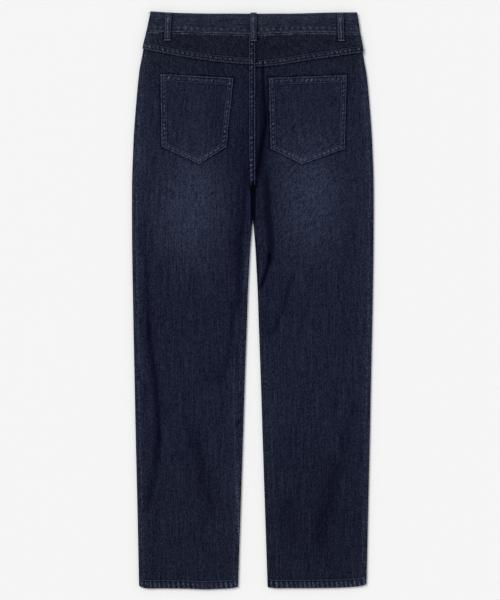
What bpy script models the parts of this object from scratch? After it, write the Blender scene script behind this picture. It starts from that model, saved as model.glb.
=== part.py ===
"""Wide leg jeans, laid out flat on their front with the back uppermost.

X runs across the garment, -X on the wearer's left. Y runs up to the waist.
Z is up from the surface that the jeans lie on. Sizes are in millimetres, and
MM turns them into metres where a mesh is made. The origin is on that surface,
under the middle of the garment's box.

Every panel is cut to its true outline, as an open surface that is given the
cloth's wall on its inner side. The panels of each leg meet along a rolled edge,
half way up, and the felled seams are laps of one panel over the next.
"""

import bpy
import numpy as np
from mathutils import Matrix

MM = 0.001

# Cloth
CLOTH = 1.2  # wall of one layer of heavy denim
BAND_CLOTH = 2.4  # the waistband is two layers
HEM_CLOTH = 2.4  # the turned hem, pressed
SEAM_GAP = 0.3  # between two pieces that are sewn together
BAND_GAP = 0.5  # between the waistband and what is sewn to it
LAP = CLOTH + 0.5  # how far one layer lifts the next
LAP_WIDTH = 10.0  # felled seams
LAP_MARGIN = 1.5  # the upper layer stays level this far past the lap
LAP_RAMP = 6.0  # cloth's slope down from a lap
TUCK_LENGTH = 45.0  # the back's side edge is drawn in over this length, down from the yoke
EDGE_DROP = 0.5  # straight stretch at the foot of a rolled edge
CROTCH_GAP = 0.35  # how much further each edge stands off the seam just under the crotch

# Heights up the garment, from the middle of its length
CROTCH = 210.0
HEM = -532.0
HEM_DEPTH = 15.0
HEM_RISE = (60.0, 18.0)  # over the hem, where the leg starts to rise to it, and ends
FLY_END = 345.0
YOKE_LINE = 445.0  # nominal height of the back panels' upper edge
FRONT_LINE = 490.0  # nominal height of the front panels' upper edge
LEVEL_ROWS = 330.0  # rows below this height run straight across

# Thickness of the garment as it lies
LEG_HEIGHT = 4.2  # top of the back over the surface, away from seams and folds
SEAM_RIDGE = 1.3  # extra height over the allowances of the side seam and inseam
SEAM_RIDGE_WIDTH = 13.0
HEM_HEIGHT = 6.4
WAIST_LIFT = 2.2  # the front loops and the button hold the waist up by this
WAIST_LIFT_LENGTH = 60.0
FLY_LUMP_REACH = (28.0, 85.0)  # where the lump over the fly starts to fall, and ends

# The front, which lies underneath
FRONT_DIP = 12.0  # how much lower the waist is at the centre front
FRONT_DIP_REACH = 190.0
POCKET_MOUTH = (101.0, 70.0)  # front pocket's opening, across and down
POCKET_MOUTH_SIDE = 206.0  # where the opening meets the side seam
FACING_REACH = 112.0
FACING_DEPTH = 96.0
FACING_CLEARANCE = 0.5
FACING_INSET = 2.8  # from the side seam's inner side
FACING_LUMP = 0.9  # how much the facings lift the back
FACING_LUMP_FROM = (365.0, 60.0)  # height and distance across where that starts
FACING_LUMP_FULL = (388.0, 84.0)  # and where it is whole

# Waistband, belt loops and fastenings
BAND_OVERLAP = (18.0, -25.0)  # ends of the band past the centre front, left and right
BAND_STEP = (45.0, 24.0)  # where the right end climbs over the left
BAND_REACH = 190.0  # nominal half width of the band, before it is fitted to the sides
LOOP_WIDTH = 11.5
LOOP_CLOTH = 1.6
LOOP_END_CLOTH = 2.2
LOOP_RISE = 0.9
LOOP_CLEARANCE = 0.5
BUTTON_RADIUS = 8.5
BUTTON_HEIGHT = 1.9
ZIP_EDGE = -6.0
ZIP_TAPE = 0.8
ZIP_CHAIN = 2.2
ZIP_WIDTH = 15.0
ZIP_CLEARANCE = 0.4
ZIP_BELOW_BAND = 34.0
SLIDER = (8.5, 11.0, 2.4)
SLIDER_TAB = (5.0, 22.0, 0.8)

# height, half width to the wearer's left, and to the right
SIDE_SEAM = (
    (535.0, 189.3, 192.8),
    (515.0, 193.7, 195.7),
    (493.0, 198.1, 199.5),
    (471.0, 203.2, 203.5),
    (445.0, 207.4, 207.2),
    (400.0, 212.7, 212.6),
    (356.0, 216.5, 216.5),
    (312.0, 219.9, 219.8),
    (267.0, 221.9, 221.9),
    (223.0, 223.4, 223.4),
    (178.0, 223.7, 223.7),
    (112.0, 223.5, 223.4),
    (0.0, 221.8, 221.9),
    (-132.0, 219.2, 219.1),
    (-266.0, 216.4, 216.4),
    (-399.0, 213.2, 213.2),
    (-510.0, 210.9, 210.7),
    (-535.0, 210.3, 209.9),
)
# height, half of the gap between the legs
INSEAM = (
    (222.0, 0.5),
    (195.0, 0.5),
    (170.0, 0.7),
    (150.0, 1.0),
    (134.0, 1.9),
    (112.0, 3.7),
    (90.0, 5.3),
    (67.0, 6.5),
    (23.0, 8.8),
    (-44.0, 11.1),
    (-132.0, 14.3),
    (-266.0, 18.6),
    (-399.0, 23.0),
    (-510.0, 26.8),
    (-535.0, 27.7),
)
# across, height of the waistband's upper edge at the back
WAIST_EDGE = (
    (-190.0, 534.5),
    (-157.0, 532.3),
    (-113.0, 530.8),
    (-54.0, 529.9),
    (20.0, 529.5),
    (80.0, 530.3),
    (139.0, 532.0),
    (193.0, 532.6),
)
# across, height of the seam under the waistband at the back
WAIST_SEAM = (
    (-198.0, 497.8),
    (-97.0, 494.9),
    (0.0, 492.3),
    (100.0, 495.6),
    (171.0, 494.9),
    (199.0, 493.8),
)
# across, height of the yoke's lower edge
YOKE_EDGE_LEFT = ((-204.0, 465.5), (-147.0, 453.9), (-49.0, 439.8), (6.0, 435.2))
YOKE_EDGE_RIGHT = ((-6.0, 431.2), (9.0, 431.6), (118.0, 446.6), (205.0, 459.1))
# across, height of the hem's edge
HEM_LEFT = (
    (-210.6, -527.3),
    (-206.0, -530.8),
    (-201.7, -531.9),
    (-172.0, -532.6),
    (-127.7, -533.1),
    (-83.3, -534.5),
    (-68.5, -533.9),
    (-38.9, -532.2),
    (-27.6, -530.4),
)
HEM_RIGHT = (
    (27.6, -530.6),
    (35.0, -531.8),
    (65.0, -532.2),
    (124.0, -532.0),
    (154.0, -531.6),
    (183.0, -530.1),
    (198.0, -528.6),
    (205.0, -526.9),
    (210.3, -524.5),
)
# height, how high the back stands over the fly
FLY_LUMP = (
    (530.0, 2.7),
    (480.0, 2.7),
    (430.0, 2.6),
    (345.0, 2.3),
    (290.0, 1.0),
    (230.0, 0.5),
    (150.0, 0.0),
)

# Folds of the back: depth, half width, and the line that the fold follows
SIDE_TROUGH_LEFT = (
    (-203, 186),
    (-200, 38),
    (-191, -73),
    (-178, -175),
    (-172, -258),
    (-176, -323),
    (-191, -378),
    (-198, -415),
)
FOLDS = (
    # left leg: along the side seam, inside its allowances
    (1.3, 8.0, SIDE_TROUGH_LEFT),
    # left leg: slack at the knee and at the calf
    (0.7, 14.0, ((-40, -80), (-57, -125), (-76, -172))),
    (1.0, 20.0, ((-122, -228), (-98, -295), (-83, -360), (-73, -418))),
    # left leg: down from the crotch
    (0.9, 9.0, ((-20, 236), (-26, 140), (-28, 44))),
    # both sides of the centre back seam
    (0.7, 5.0, ((-16, 424), (-16, 276))),
    (1.3, 6.5, ((19, 426), (22, 371), (18, 297), (15, 226))),
    # right leg: hooked folds under the crotch
    (1.3, 6.0, ((17, 214), (26, 158), (35, 97), (31, 60), (18, 26))),
    (0.8, 7.0, ((73, 42), (63, -14), (46, -51), (24, -66))),
    # right leg: slack at the calf and along the side seam
    (1.0, 22.0, ((186, -252), (152, -336), (133, -406), (126, -500))),
    (0.7, 20.0, ((52, -358), (88, -482))),
    (0.5, 9.0, ((192, -176), (170, -245))),
    (0.5, 9.0, ((203, 374), (209, 238))),
)

# Patch pockets: corners as across, height
POCKET_CLOTH = 1.2
POCKET_BORDER_CLOTH = 1.7  # turned edges
POCKET_BORDER = 10.5
POCKET_BORDER_STEP = 0.15  # the border's cloth thins over this share of its width, each side
POCKET_CLEARANCE = 0.6
BACK_POCKETS = {
    "pocket_back_left": {
        "top": ((-170.6, 418.6), (-35.5, 411.0)),
        "bottom": ((-168.7, 284.0), (-98.8, 252.0), (-48.8, 284.0)),
    },
    "pocket_back_right": {
        "top": ((29.6, 411.0), (174.2, 416.8)),
        "bottom": ((33.1, 280.2), (91.8, 251.6), (170.4, 280.2)),
    },
}

# Belt loops of the back: across at the waist edge, across at the lower end,
# height of the upper end, height of the lower end
BACK_LOOPS = {
    "belt_loop_back_left": (-156.0, -159.2, 531.8, 479.8),
    "belt_loop_back_centre": (1.4, 1.6, 531.0, 478.2),
    "belt_loop_back_right": (161.8, 163.8, 531.8, 479.0),
}
FRONT_LOOP_ACROSS = 92.0
FRONT_LOOP_BELOW_SEAM = 13.0

# Colours: red, green, blue, and then roughness, metallic
DENIM = ((0.022, 0.027, 0.052), 0.9, 0.0)
DENIM_BAND = ((0.03, 0.036, 0.066), 0.88, 0.0)
BUTTON_METAL = ((0.36, 0.33, 0.29), 0.38, 1.0)
ZIP_METAL = ((0.44, 0.4, 0.34), 0.42, 1.0)


def curve(table, at, column=1):
    """A smooth curve through a table's rows, read at places in its first column."""
    rows = np.array(sorted(table))
    places, values = rows[:, 0], rows[:, column]
    slopes = np.gradient(values, places)
    i = np.clip(np.searchsorted(places, at) - 1, 0, len(places) - 2)
    step = places[i + 1] - places[i]
    t = np.clip((at - places[i]) / step, 0.0, 1.0)
    return (
        (2 * t**3 - 3 * t**2 + 1) * values[i]
        + (t**3 - 2 * t**2 + t) * step * slopes[i]
        + (3 * t**2 - 2 * t**3) * values[i + 1]
        + (t**3 - t**2) * step * slopes[i + 1]
    )


def ease(at, start, end):
    """From 0 at start to 1 at end, with no corner."""
    t = np.clip((at - start) / (end - start), 0.0, 1.0)
    return t * t * (3 - 2 * t)


def mix(a, b, share):
    return a + (b - a) * share


def half_width(side, y):
    """From the middle to the side seam. side is -1 for the wearer's left, 1 for the right."""
    return curve(SIDE_SEAM, y, 1 if side < 0 else 2)


def yoke_edge(side, x):
    return curve(YOKE_EDGE_LEFT if side < 0 else YOKE_EDGE_RIGHT, x)


def hem_edge(side, x):
    return curve(HEM_LEFT if side < 0 else HEM_RIGHT, x)


def front_dip(x):
    return FRONT_DIP * np.cos(np.pi / 2 * np.clip(x / FRONT_DIP_REACH, -1, 1)) ** 2


def front_seam(x):
    """Height of the seam under the waistband at the front."""
    return curve(WAIST_SEAM, x) - front_dip(x)


def inner_edge(side, y):
    """Across, at the rise above the crotch, where the left laps the right, or at the inseam."""
    legs_apart = ease(y, CROTCH + 14, CROTCH - 1)
    return side * mix(-LAP_WIDTH / 2, curve(INSEAM, y), legs_apart)


def fold_depth(x, y):
    """How far the folds dip into the back at a point."""
    depth = np.zeros_like(x)
    for deep, reach, line in FOLDS:
        line = np.array(line, float)
        starts, runs = line[:-1], np.diff(line, axis=0)
        lengths = np.hypot(*runs.T)
        done = np.concatenate([[0.0], np.cumsum(lengths)])
        nearest = np.full(x.shape, np.inf)
        along = np.zeros_like(x)
        for start, run, length, before in zip(starts, runs, lengths, done):
            t = ((x - start[0]) * run[0] + (y - start[1]) * run[1]) / length**2
            t = np.clip(t, 0.0, 1.0)
            away = np.hypot(x - start[0] - t * run[0], y - start[1] - t * run[1])
            along = np.where(away < nearest, (before + t * length) / done[-1], along)
            nearest = np.minimum(away, nearest)
        fades = ease(along, 0.0, 0.3) * ease(along, 1.0, 0.7)
        depth += deep * fades * np.exp(-((nearest / reach) ** 2))
    return depth


def waist_lift(y, seam):
    return WAIST_LIFT * ease(y, seam - WAIST_LIFT_LENGTH, seam - 6.0)


def over_fly(x):
    return 1 - ease(np.abs(x), *FLY_LUMP_REACH)


def front_height(x, y):
    """The front's outer face, which lies on the surface but for the waist."""
    return waist_lift(y, front_seam(x))


def near_hem(y):
    start, end = HEM_RISE
    return ease(y, HEM + start, HEM + end)


def back_height(x, y):
    """The back's outer face, as one layer."""
    side = np.where(x < 0, -1, 1)
    width = np.where(side < 0, half_width(-1, y), half_width(1, y))
    from_side = width - np.abs(x)
    from_inseam = np.abs(x) - curve(INSEAM, y)
    ridge = np.exp(-((from_side / SEAM_RIDGE_WIDTH) ** 2))
    ridge += ease(y, CROTCH + 20, CROTCH - 30) * np.exp(-((from_inseam / SEAM_RIDGE_WIDTH) ** 2))
    lift = waist_lift(y, curve(WAIST_SEAM, x))
    height = LEG_HEIGHT + SEAM_RIDGE * ridge * (1 - 0.6 * lift / WAIST_LIFT)
    height += lift + curve(FLY_LUMP, y) * over_fly(x)
    (low, inner), (high, outer) = FACING_LUMP_FROM, FACING_LUMP_FULL
    height += FACING_LUMP * ease(y, low, high) * ease(np.abs(x), inner, outer)
    height -= fold_depth(x, y)
    return mix(height, HEM_HEIGHT, near_hem(y))


def seam_level(x, y):
    """Height at which the back's and the front's rolled edges meet."""
    level = (LEG_HEIGHT + SEAM_RIDGE) / 2 + 0.8 * waist_lift(y, front_seam(x))
    return mix(level, HEM_HEIGHT / 2, near_hem(y))


def rolled(rolls, drop):
    """Columns of an edge from its inner end to the edge: distances in from the edge, and drops.

    Where rolls is 0 the edge lies flat. Where it is 1 it turns over a quarter round
    through the whole drop, down to where the garment's two faces meet.
    """
    radius = drop - EDGE_DROP
    chord = radius * (1 - np.sqrt(0.5))
    nothing = 0 * radius
    flat = [drop, 0.6 * drop, 0.25 * drop, nothing]
    turned = [(radius, nothing), (chord, chord), (nothing, radius), (nothing, drop)]
    return [
        (mix(level, distance, rolls), fall * rolls)
        for level, (distance, fall) in zip(flat, turned)
    ]


ROLL_COLUMNS = 4


def untucked(x, y):
    return 0 * x


def panel_points(side, face, heights, across, edges, lap, tuck=untucked):
    """Rows of points of one panel, from its top row down and from its outer edge in.

    heights: nominal height of each row. across: shares of the way in, between the
    edges' columns. edges(x, y) moves the nominal height of a row to the panel's own
    upper and lower edge. lap(x, y) is how far the panel is lifted off its layer, and
    tuck(x, y) how far its outer edge is drawn in under the piece that laps it.
    """
    inward = -side
    upward = 1 if face == "back" else -1
    surface = back_height if face == "back" else front_height
    columns = 2 * ROLL_COLUMNS + 2 + len(across)
    nominal = np.repeat(np.array(heights, float)[:, None], columns, axis=1)
    x = np.zeros_like(nominal)
    y = nominal.copy()
    for _ in range(4):
        outer = side * half_width(side, y)
        inner = inner_edge(side, y)
        rolls = ease(y, CROTCH - 1, CROTCH - 16)
        outer = outer - side * tuck(outer, y)
        parting = SEAM_GAP / 2 + CROTCH_GAP * ease(y, CROTCH - 46, CROTCH - 16)
        outer_drop = np.abs(surface(outer, y) - seam_level(outer, y)) - SEAM_GAP / 2
        inner_drop = np.abs(surface(inner, y) - seam_level(inner, y)) - parting
        across_outer = rolled(1.0, outer_drop)
        across_inner = rolled(rolls, inner_drop)
        drops = np.zeros_like(nominal)
        for k in range(ROLL_COLUMNS):
            distance, drop = across_outer[ROLL_COLUMNS - 1 - k]
            x[:, k] = (outer + inward * distance)[:, k]
            drops[:, k] = drop[:, k]
            distance, drop = across_inner[k]
            last = columns - ROLL_COLUMNS + k
            x[:, last] = (inner - inward * distance)[:, last]
            drops[:, last] = drop[:, last]
        level = LAP_WIDTH + LAP_MARGIN
        ramp_foot = (inner - inward * (level + LAP_RAMP))[:, -ROLL_COLUMNS - 2]
        ramp_top = (inner - inward * level)[:, -ROLL_COLUMNS - 1]
        x[:, -ROLL_COLUMNS - 2] = ramp_foot
        x[:, -ROLL_COLUMNS - 1] = ramp_top
        first = x[:, ROLL_COLUMNS - 1]
        for k, share in enumerate(across):
            x[:, ROLL_COLUMNS + k] = mix(first, ramp_foot, share)
        y = edges(x, nominal)
    z = surface(x, y) + upward * (lap(x, y) - drops)
    return np.stack([x, y, z], axis=-1)


def between(first, last, count):
    """Values between two ends, without the ends."""
    return list(np.linspace(first, last, count + 2)[1:-1])


BACK_LAP_FOOT = 426.5  # the left back starts to climb over the right yoke here
BACK_LAP_FULL = 430.5


def back_rows():
    waist = [YOKE_LINE, BACK_LAP_FULL, BACK_LAP_FOOT]
    seat = between(BACK_LAP_FOOT, CROTCH + 14, 7)
    crotch = [CROTCH + 14, CROTCH + 6, CROTCH - 1, CROTCH - 8, CROTCH - 16]
    leg = between(CROTCH - 16, HEM + 46, 19)
    hem = [HEM + 46, HEM + HEM_DEPTH + 2, HEM + HEM_DEPTH, HEM]
    return waist + seat + crotch + leg + hem


def front_rows():
    waist = [FRONT_LINE, 474.0, 456.0, 436.0, 412.0, 380.0]
    seat = between(380.0, CROTCH + 14, 3)
    crotch = [CROTCH + 14, CROTCH + 6, CROTCH - 1, CROTCH - 8, CROTCH - 16, CROTCH - 46]
    leg = between(CROTCH - 46, HEM + 46, 11)
    hem = [HEM + 46, HEM + HEM_DEPTH + 2, HEM + HEM_DEPTH, HEM]
    return waist + seat + crotch + leg + hem


def towards_hem(side, x, nominal):
    """How far a row near the hem is moved so that the last one is the hem's edge."""
    return (hem_edge(side, x) - HEM) * ease(nominal, HEM + 120, HEM + HEM_DEPTH + 2)


def towards_waist(move, nominal, line):
    """The share of move for a row: all of it at the panel's upper edge, none at the level rows."""
    return move * np.clip((nominal - LEVEL_ROWS) / (line - LEVEL_ROWS), 0, 1)


def back_edges(side):
    def edges(x, nominal):
        move = yoke_edge(side, x) + LAP_WIDTH - YOKE_LINE
        top = towards_waist(move, nominal, BACK_LAP_FOOT)
        return nominal + top + towards_hem(side, x, nominal)

    return edges


def front_edges(side):
    across, down = POCKET_MOUTH

    def edges(x, nominal):
        past = np.clip((POCKET_MOUTH_SIDE - np.abs(x)) / across, 0, 1)
        move = front_seam(x) - BAND_GAP - down * np.sqrt(1 - past**2) - FRONT_LINE
        top = towards_waist(move, nominal, FRONT_LINE)
        return nominal + top + towards_hem(side, x, nominal)

    return edges


def over_rise(side, x, y):
    """1 on the part of a raised panel that lies over its neighbour at the rise, and 0 off it."""
    edge = inner_edge(side, y)
    inside = np.abs(edge - x)
    level = LAP_WIDTH + LAP_MARGIN
    on_lap = ease(inside, level + LAP_RAMP, level)
    return on_lap * ease(y, CROTCH - 18, CROTCH - 1)


def back_lap(side):
    """The left back lies over the right back, and over the right yoke's lower edge too."""

    def lap(x, y):
        if side > 0:
            return 0 * x
        crossing = 1 + ease(y, BACK_LAP_FOOT, BACK_LAP_FULL - 0.5)
        return LAP * over_rise(side, x, y) * crossing

    return lap


def under_yoke(side):
    """The back's side edge is drawn in where the yoke laps it."""

    def tuck(x, y):
        edge = yoke_edge(side, x)
        return LAP * ease(y, edge - TUCK_LENGTH, edge - 5.0)

    return tuck


def yoke_lap(side):
    """The yoke lies over the back, and the left yoke lies over the right one."""

    def lap(x, y):
        edge = yoke_edge(side, x)
        over_back = ease(y, edge + LAP_WIDTH + 1 + LAP_RAMP, edge + LAP_WIDTH + 1)
        if side > 0:
            return LAP * over_back
        return LAP * (over_back + over_rise(side, x, y) * (1 + over_back))

    return lap


def front_lap(side):
    """The left front is outermost, so the right front is lifted over it."""

    def lap(x, y):
        return -LAP * over_rise(side, x, y) if side > 0 else 0 * x

    return lap


def make_mesh(name, rows):
    """A mesh with a quad in each cell of a grid of points in millimetres."""
    rows = np.asarray(rows, float)
    index = np.arange(rows.shape[0] * rows.shape[1]).reshape(rows.shape[:2])
    cells = [index[:-1, :-1], index[:-1, 1:], index[1:, 1:], index[1:, :-1]]
    quads = np.stack(cells, axis=-1).reshape(-1, 4)
    mesh = bpy.data.meshes.new(name)
    mesh.from_pydata((rows.reshape(-1, 3) * MM).tolist(), [], quads.tolist())
    return mesh


def cloth(name, rows, finish, wall=CLOTH, walls=None, turn=False):
    """A piece of cloth: an open surface through rows of points, with its wall on the inner side.

    walls gives each point a wall of its own, and turn reverses which side is out.
    """
    mesh = make_mesh(name, rows)
    if turn:
        mesh.flip_normals()
    mesh.shade_smooth()
    piece = add(name, mesh, finish)
    solid = piece.modifiers.new("wall", "SOLIDIFY")
    solid.thickness = wall * MM
    solid.offset = -1.0
    solid.use_even_offset = True
    if walls is not None:
        thickest = float(np.max(walls))
        solid.thickness = thickest * MM
        group = piece.vertex_groups.new(name="wall")
        solid.vertex_group = group.name
        for i, share in enumerate(np.ravel(walls) / thickest):
            group.add([i], float(share), "REPLACE")
    return piece


def add(name, mesh, finish, collection=None):
    piece = bpy.data.objects.new(name, mesh)
    (collection or bpy.data.collections["wide_leg_jeans"]).objects.link(piece)
    piece.parent = bpy.data.objects["jeans"]
    colour, roughness, metallic = finish
    material = bpy.data.materials.new(name)
    material.use_nodes = True
    shader = material.node_tree.nodes["Principled BSDF"]
    shader.inputs["Base Color"].default_value = (*colour, 1.0)
    shader.inputs["Roughness"].default_value = roughness
    shader.inputs["Metallic"].default_value = metallic
    mesh.materials.append(material)
    return piece


def hem_walls(rows):
    """The cloth's wall at each point of a leg panel: thicker in the turned hem."""
    walls = np.full(rows.shape[:2], CLOTH)
    walls[-2:] = HEM_CLOTH
    return walls


def make_backs():
    across = between(0, 1, 8)
    for side, name in ((-1, "back_left"), (1, "back_right")):
        rows = panel_points(
            side, "back", back_rows(), across, back_edges(side), back_lap(side), under_yoke(side)
        )
        cloth(name, rows, DENIM, walls=hem_walls(rows), turn=side < 0)


def make_fronts():
    across = [0.02, 0.09, 0.17, 0.25, 0.33, 0.4, 0.455, 0.495, 0.52, 0.68, 0.84]
    for side, name in ((-1, "front_left"), (1, "front_right")):
        rows = panel_points(side, "front", front_rows(), across, front_edges(side), front_lap(side))
        cloth(name, rows, DENIM, walls=hem_walls(rows), turn=side > 0)


def yoke_edges(side):
    """The yoke's five rows: the waistband's seam, two on its slope, the lap's end, its edge."""

    def edges(x, nominal):
        bottom = yoke_edge(side, x)
        top = curve(WAIST_SEAM, x) - BAND_GAP
        lap_end = bottom + LAP_WIDTH + 1
        foot = lap_end + LAP_RAMP
        steps = np.stack([top, mix(foot, top, 0.5), foot, lap_end, bottom])
        own = np.arange(len(x))
        return steps[own, own]

    return edges


def make_yokes():
    across = between(0, 1, 8)
    heights = np.linspace(FRONT_LINE, YOKE_LINE, 5)
    for side, name in ((-1, "yoke_left"), (1, "yoke_right")):
        rows = panel_points(side, "back", heights, across, yoke_edges(side), yoke_lap(side))
        cloth(name, rows, DENIM, turn=side < 0)


def make_facings():
    """What shows in the mouth of each front pocket."""
    for side, name in ((-1, "pocket_facing_left"), (1, "pocket_facing_right")):
        rows = []
        for down in (0.0, 20.0, 45.0, 70.0, FACING_DEPTH):
            share = np.linspace(0.0, 1.0, 6)
            y = FRONT_LINE - down
            for _ in range(3):
                edge = half_width(side, y) - CLOTH - FACING_INSET
                x = side * mix(half_width(side, FRONT_LINE) - FACING_REACH, edge, share)
                y = front_seam(x) - BAND_GAP - down
            z = front_height(x, y) + CLOTH + FACING_CLEARANCE
            rows.append(np.stack([x, y, z], axis=-1))
        cloth(name, rows, DENIM, turn=side < 0)


def band_path():
    """Stations round the waistband, from its left end under the centre front, as shares
    of the half width, the outer face's height, and 1 at the front and 0 at the back."""
    low, high = WAIST_LIFT, WAIST_LIFT + 2 * BAND_CLOTH + SEAM_GAP
    radius = (high - low) / 2
    stations = []

    def run(places, height, at_front):
        stations.extend((x / BAND_REACH, 0.0, height(x), at_front) for x in places)

    def turn(side, rising):
        for degrees in (-60, -20, 20, 60):
            angle = np.radians(degrees if rising else -degrees)
            out = radius * np.cos(angle)
            rise = np.sin(angle)
            stations.append((side, out, low + radius + radius * rise, 0.5 - 0.5 * rise))

    def climb(x):
        return low + (BAND_CLOTH + SEAM_GAP) * ease(x, *BAND_STEP)

    def back(x):
        return high + (BAND_CLOTH + SEAM_GAP) * over_fly(x)

    side = (140, 90, 70, 52, 36, 20)
    at_back = (*(-x for x in side), 0, *side[::-1])
    under = (-5, -30, -55, -80, -105, -135, -165)
    over = (165, 135, 105, 80, 60, *BAND_STEP, 0)
    run((BAND_OVERLAP[0], *under, -BAND_REACH), lambda x: low, 1.0)
    turn(-1, True)
    run((-BAND_REACH, *at_back, BAND_REACH), back, 0.0)
    turn(1, False)
    run((BAND_REACH, *over, BAND_OVERLAP[1]), climb, 1.0)
    return stations, radius


def make_waistband():
    stations, radius = band_path()
    rows = []
    for edge in (WAIST_SEAM, WAIST_EDGE):
        row = []
        for share, out, z, at_front in stations:
            x = share * BAND_REACH
            y = curve(edge, x) - at_front * front_dip(x)
            width = half_width(share, y) - radius
            across = share * width + np.sign(share) * out
            row.append((across, curve(edge, across) - at_front * front_dip(across), z))
        rows.append(row)
    cloth("waistband", rows, DENIM_BAND, wall=BAND_CLOTH)


def with_border(border, inside):
    """Shares of the way over a pocket, with a pair of them where its border ends at each side."""
    before, after = (1 - POCKET_BORDER_STEP) * border, (1 + POCKET_BORDER_STEP) * border
    return np.array([0, before, after, *inside, 1 - after, 1 - before, 1])


def make_back_pockets():
    for name, corners in BACK_POCKETS.items():
        left, right = np.array(corners["top"])
        low_left, tip, low_right = np.array(corners["bottom"])
        side_border = POCKET_BORDER / (right[0] - left[0])
        end_border = POCKET_BORDER / (left[1] - tip[1])
        at_tip = (tip[0] - low_left[0]) / (low_right[0] - low_left[0])
        inside = [*between(side_border, at_tip, 1), at_tip, *between(at_tip, 1 - side_border, 1)]
        shares = with_border(side_border, inside)
        at_side = np.minimum(shares, 1 - shares) < side_border
        top = left + (right - left) * shares[:, None]
        bottom = np.where(
            shares[:, None] < at_tip,
            low_left + (tip - low_left) * (shares / at_tip)[:, None],
            tip + (low_right - tip) * ((shares - at_tip) / (1 - at_tip))[:, None],
        )
        rows = []
        walls = []
        for down in with_border(end_border, between(end_border, 1 - end_border, 4)):
            x, y = (top + (bottom - top) * down).T
            turned = at_side | (min(down, 1 - down) < end_border)
            wall = np.where(turned, POCKET_BORDER_CLOTH, POCKET_CLOTH)
            z = back_height(x, y) + POCKET_CLEARANCE + wall
            rows.append(np.stack([x, y, z], axis=-1))
            walls.append(wall)
        cloth(name, rows, DENIM, walls=np.array(walls), turn=True)


def loop_points(across, heights, underside, outward):
    """A strip of three points across, and its wall, from one end to the other."""
    length = abs(heights[-1] - heights[0])
    rows = []
    walls = []
    for x, y, under in zip(across, heights, underside):
        from_end = min(abs(y - heights[0]), abs(y - heights[-1]))
        wall = LOOP_END_CLOTH if from_end < 6.0 else LOOP_CLOTH
        rise = LOOP_RISE * ease(from_end, 5.0, 0.4 * length)
        z = under + outward * (rise + wall)
        rows.append([(x + k * LOOP_WIDTH / 2, y, z) for k in (-1, 0, 1)])
        walls.append([wall] * 3)
    return np.array(rows), np.array(walls)


def make_back_loops():
    """Loops sewn down over the yoke at one end and at the waistband's edge at the other."""
    for name, (x_top, x_low, top, low) in BACK_LOOPS.items():
        seam = curve(WAIST_SEAM, x_low)
        sewn = [low, low + 5.5, low + 7.5]
        free = [seam + 2.5, mix(seam, top, 0.45)]
        heights = np.array([*sewn, *free, top - 9.0, top - 7.0, top])
        across = mix(x_low, x_top, (heights - low) / (top - low))
        band = WAIST_LIFT + 2 * BAND_CLOTH + SEAM_GAP + (BAND_CLOTH + SEAM_GAP) * over_fly(across)
        lapped = LAP if abs(x_low) < LAP_WIDTH else 0.0
        yoke = back_height(across, heights) + lapped
        on_yoke = heights < seam + 1
        underside = np.where(on_yoke, yoke, band) + LOOP_CLEARANCE
        rows, walls = loop_points(across, heights, underside, 1)
        cloth(name, rows, DENIM_BAND, walls=walls)


def make_front_loops():
    for side, name in ((-1, "belt_loop_front_left"), (1, "belt_loop_front_right")):
        x = side * FRONT_LOOP_ACROSS
        top = curve(WAIST_EDGE, x) - front_dip(x) - LOOP_CLEARANCE
        low = front_seam(x) - FRONT_LOOP_BELOW_SEAM
        heights = np.array([low, low + 6.5, mix(low, top, 0.5), top - 6.5, top])
        rows = [[(x + k * LOOP_WIDTH / 2, y, 0.0) for k in (-1, 0, 1)] for y in heights]
        cloth(name, rows, DENIM_BAND, wall=LOOP_CLOTH, turn=True)


def make_zip():
    """The closed zip, under the left front's edge."""
    across = ZIP_EDGE - np.array([0.0, 4.5, 5.0, 9.5, 10.0, ZIP_WIDTH])
    walls = np.array([ZIP_TAPE, ZIP_TAPE, ZIP_CHAIN, ZIP_CHAIN, ZIP_TAPE, ZIP_TAPE])
    top = front_seam(ZIP_EDGE) - ZIP_BELOW_BAND
    heights = [top, top - 12.0, *between(top - 12.0, FLY_END, 3), FLY_END]
    rows = []
    for y in heights:
        z = front_height(across, y + 0 * across) + CLOTH + ZIP_CLEARANCE
        rows.append(np.stack([across, y + 0 * across, z], axis=-1))
    cloth("zip", rows, DENIM_BAND, walls=np.tile(walls, (len(heights), 1)), turn=True)
    return top


def make_slider(zip_top):
    """The zip's slider above the chain, with its tab turned up."""
    width, length, height = SLIDER
    x = ZIP_EDGE - ZIP_WIDTH / 2
    y = zip_top + SEAM_GAP + length / 2
    foot, head = front_height(np.full(2, x), np.array([y - length / 2, y + length / 2 + 6.0]))
    slope = (head - foot) / (length + 6.0)
    z = front_height(np.array([x]), np.array([y]))[0] + CLOTH + ZIP_CLEARANCE + height / 2
    body = block("zip_slider", SLIDER, (0, 0, 0), bevel=0.5)
    tab = block("tab_shape", SLIDER_TAB, (0, SLIDER_TAB[1] / 2 - 2.0, 0), helper=True)
    for piece in (body, tab):
        piece.location = (x * MM, y * MM, z * MM)
        piece.rotation_euler = (float(np.arctan(slope)), 0.0, 0.0)
    union = body.modifiers.new("tab", "BOOLEAN")
    union.operation = "UNION"
    union.object = tab


def block(name, size, middle, bevel=0.0, helper=False):
    bpy.ops.mesh.primitive_cube_add(size=1.0)
    cube = bpy.context.active_object
    mesh = cube.data
    bpy.data.objects.remove(cube)
    mesh.transform(Matrix.Diagonal((*(v * MM for v in size), 1.0)))
    mesh.transform(Matrix.Translation([v * MM for v in middle]))
    piece = add(name, mesh, ZIP_METAL, bpy.data.collections["shapes"] if helper else None)
    if bevel:
        edge = piece.modifiers.new("edges", "BEVEL")
        edge.width = bevel * MM
        edge.segments = 2
    if helper:
        piece.hide_render = True
        piece.display_type = "WIRE"
    return piece


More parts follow.
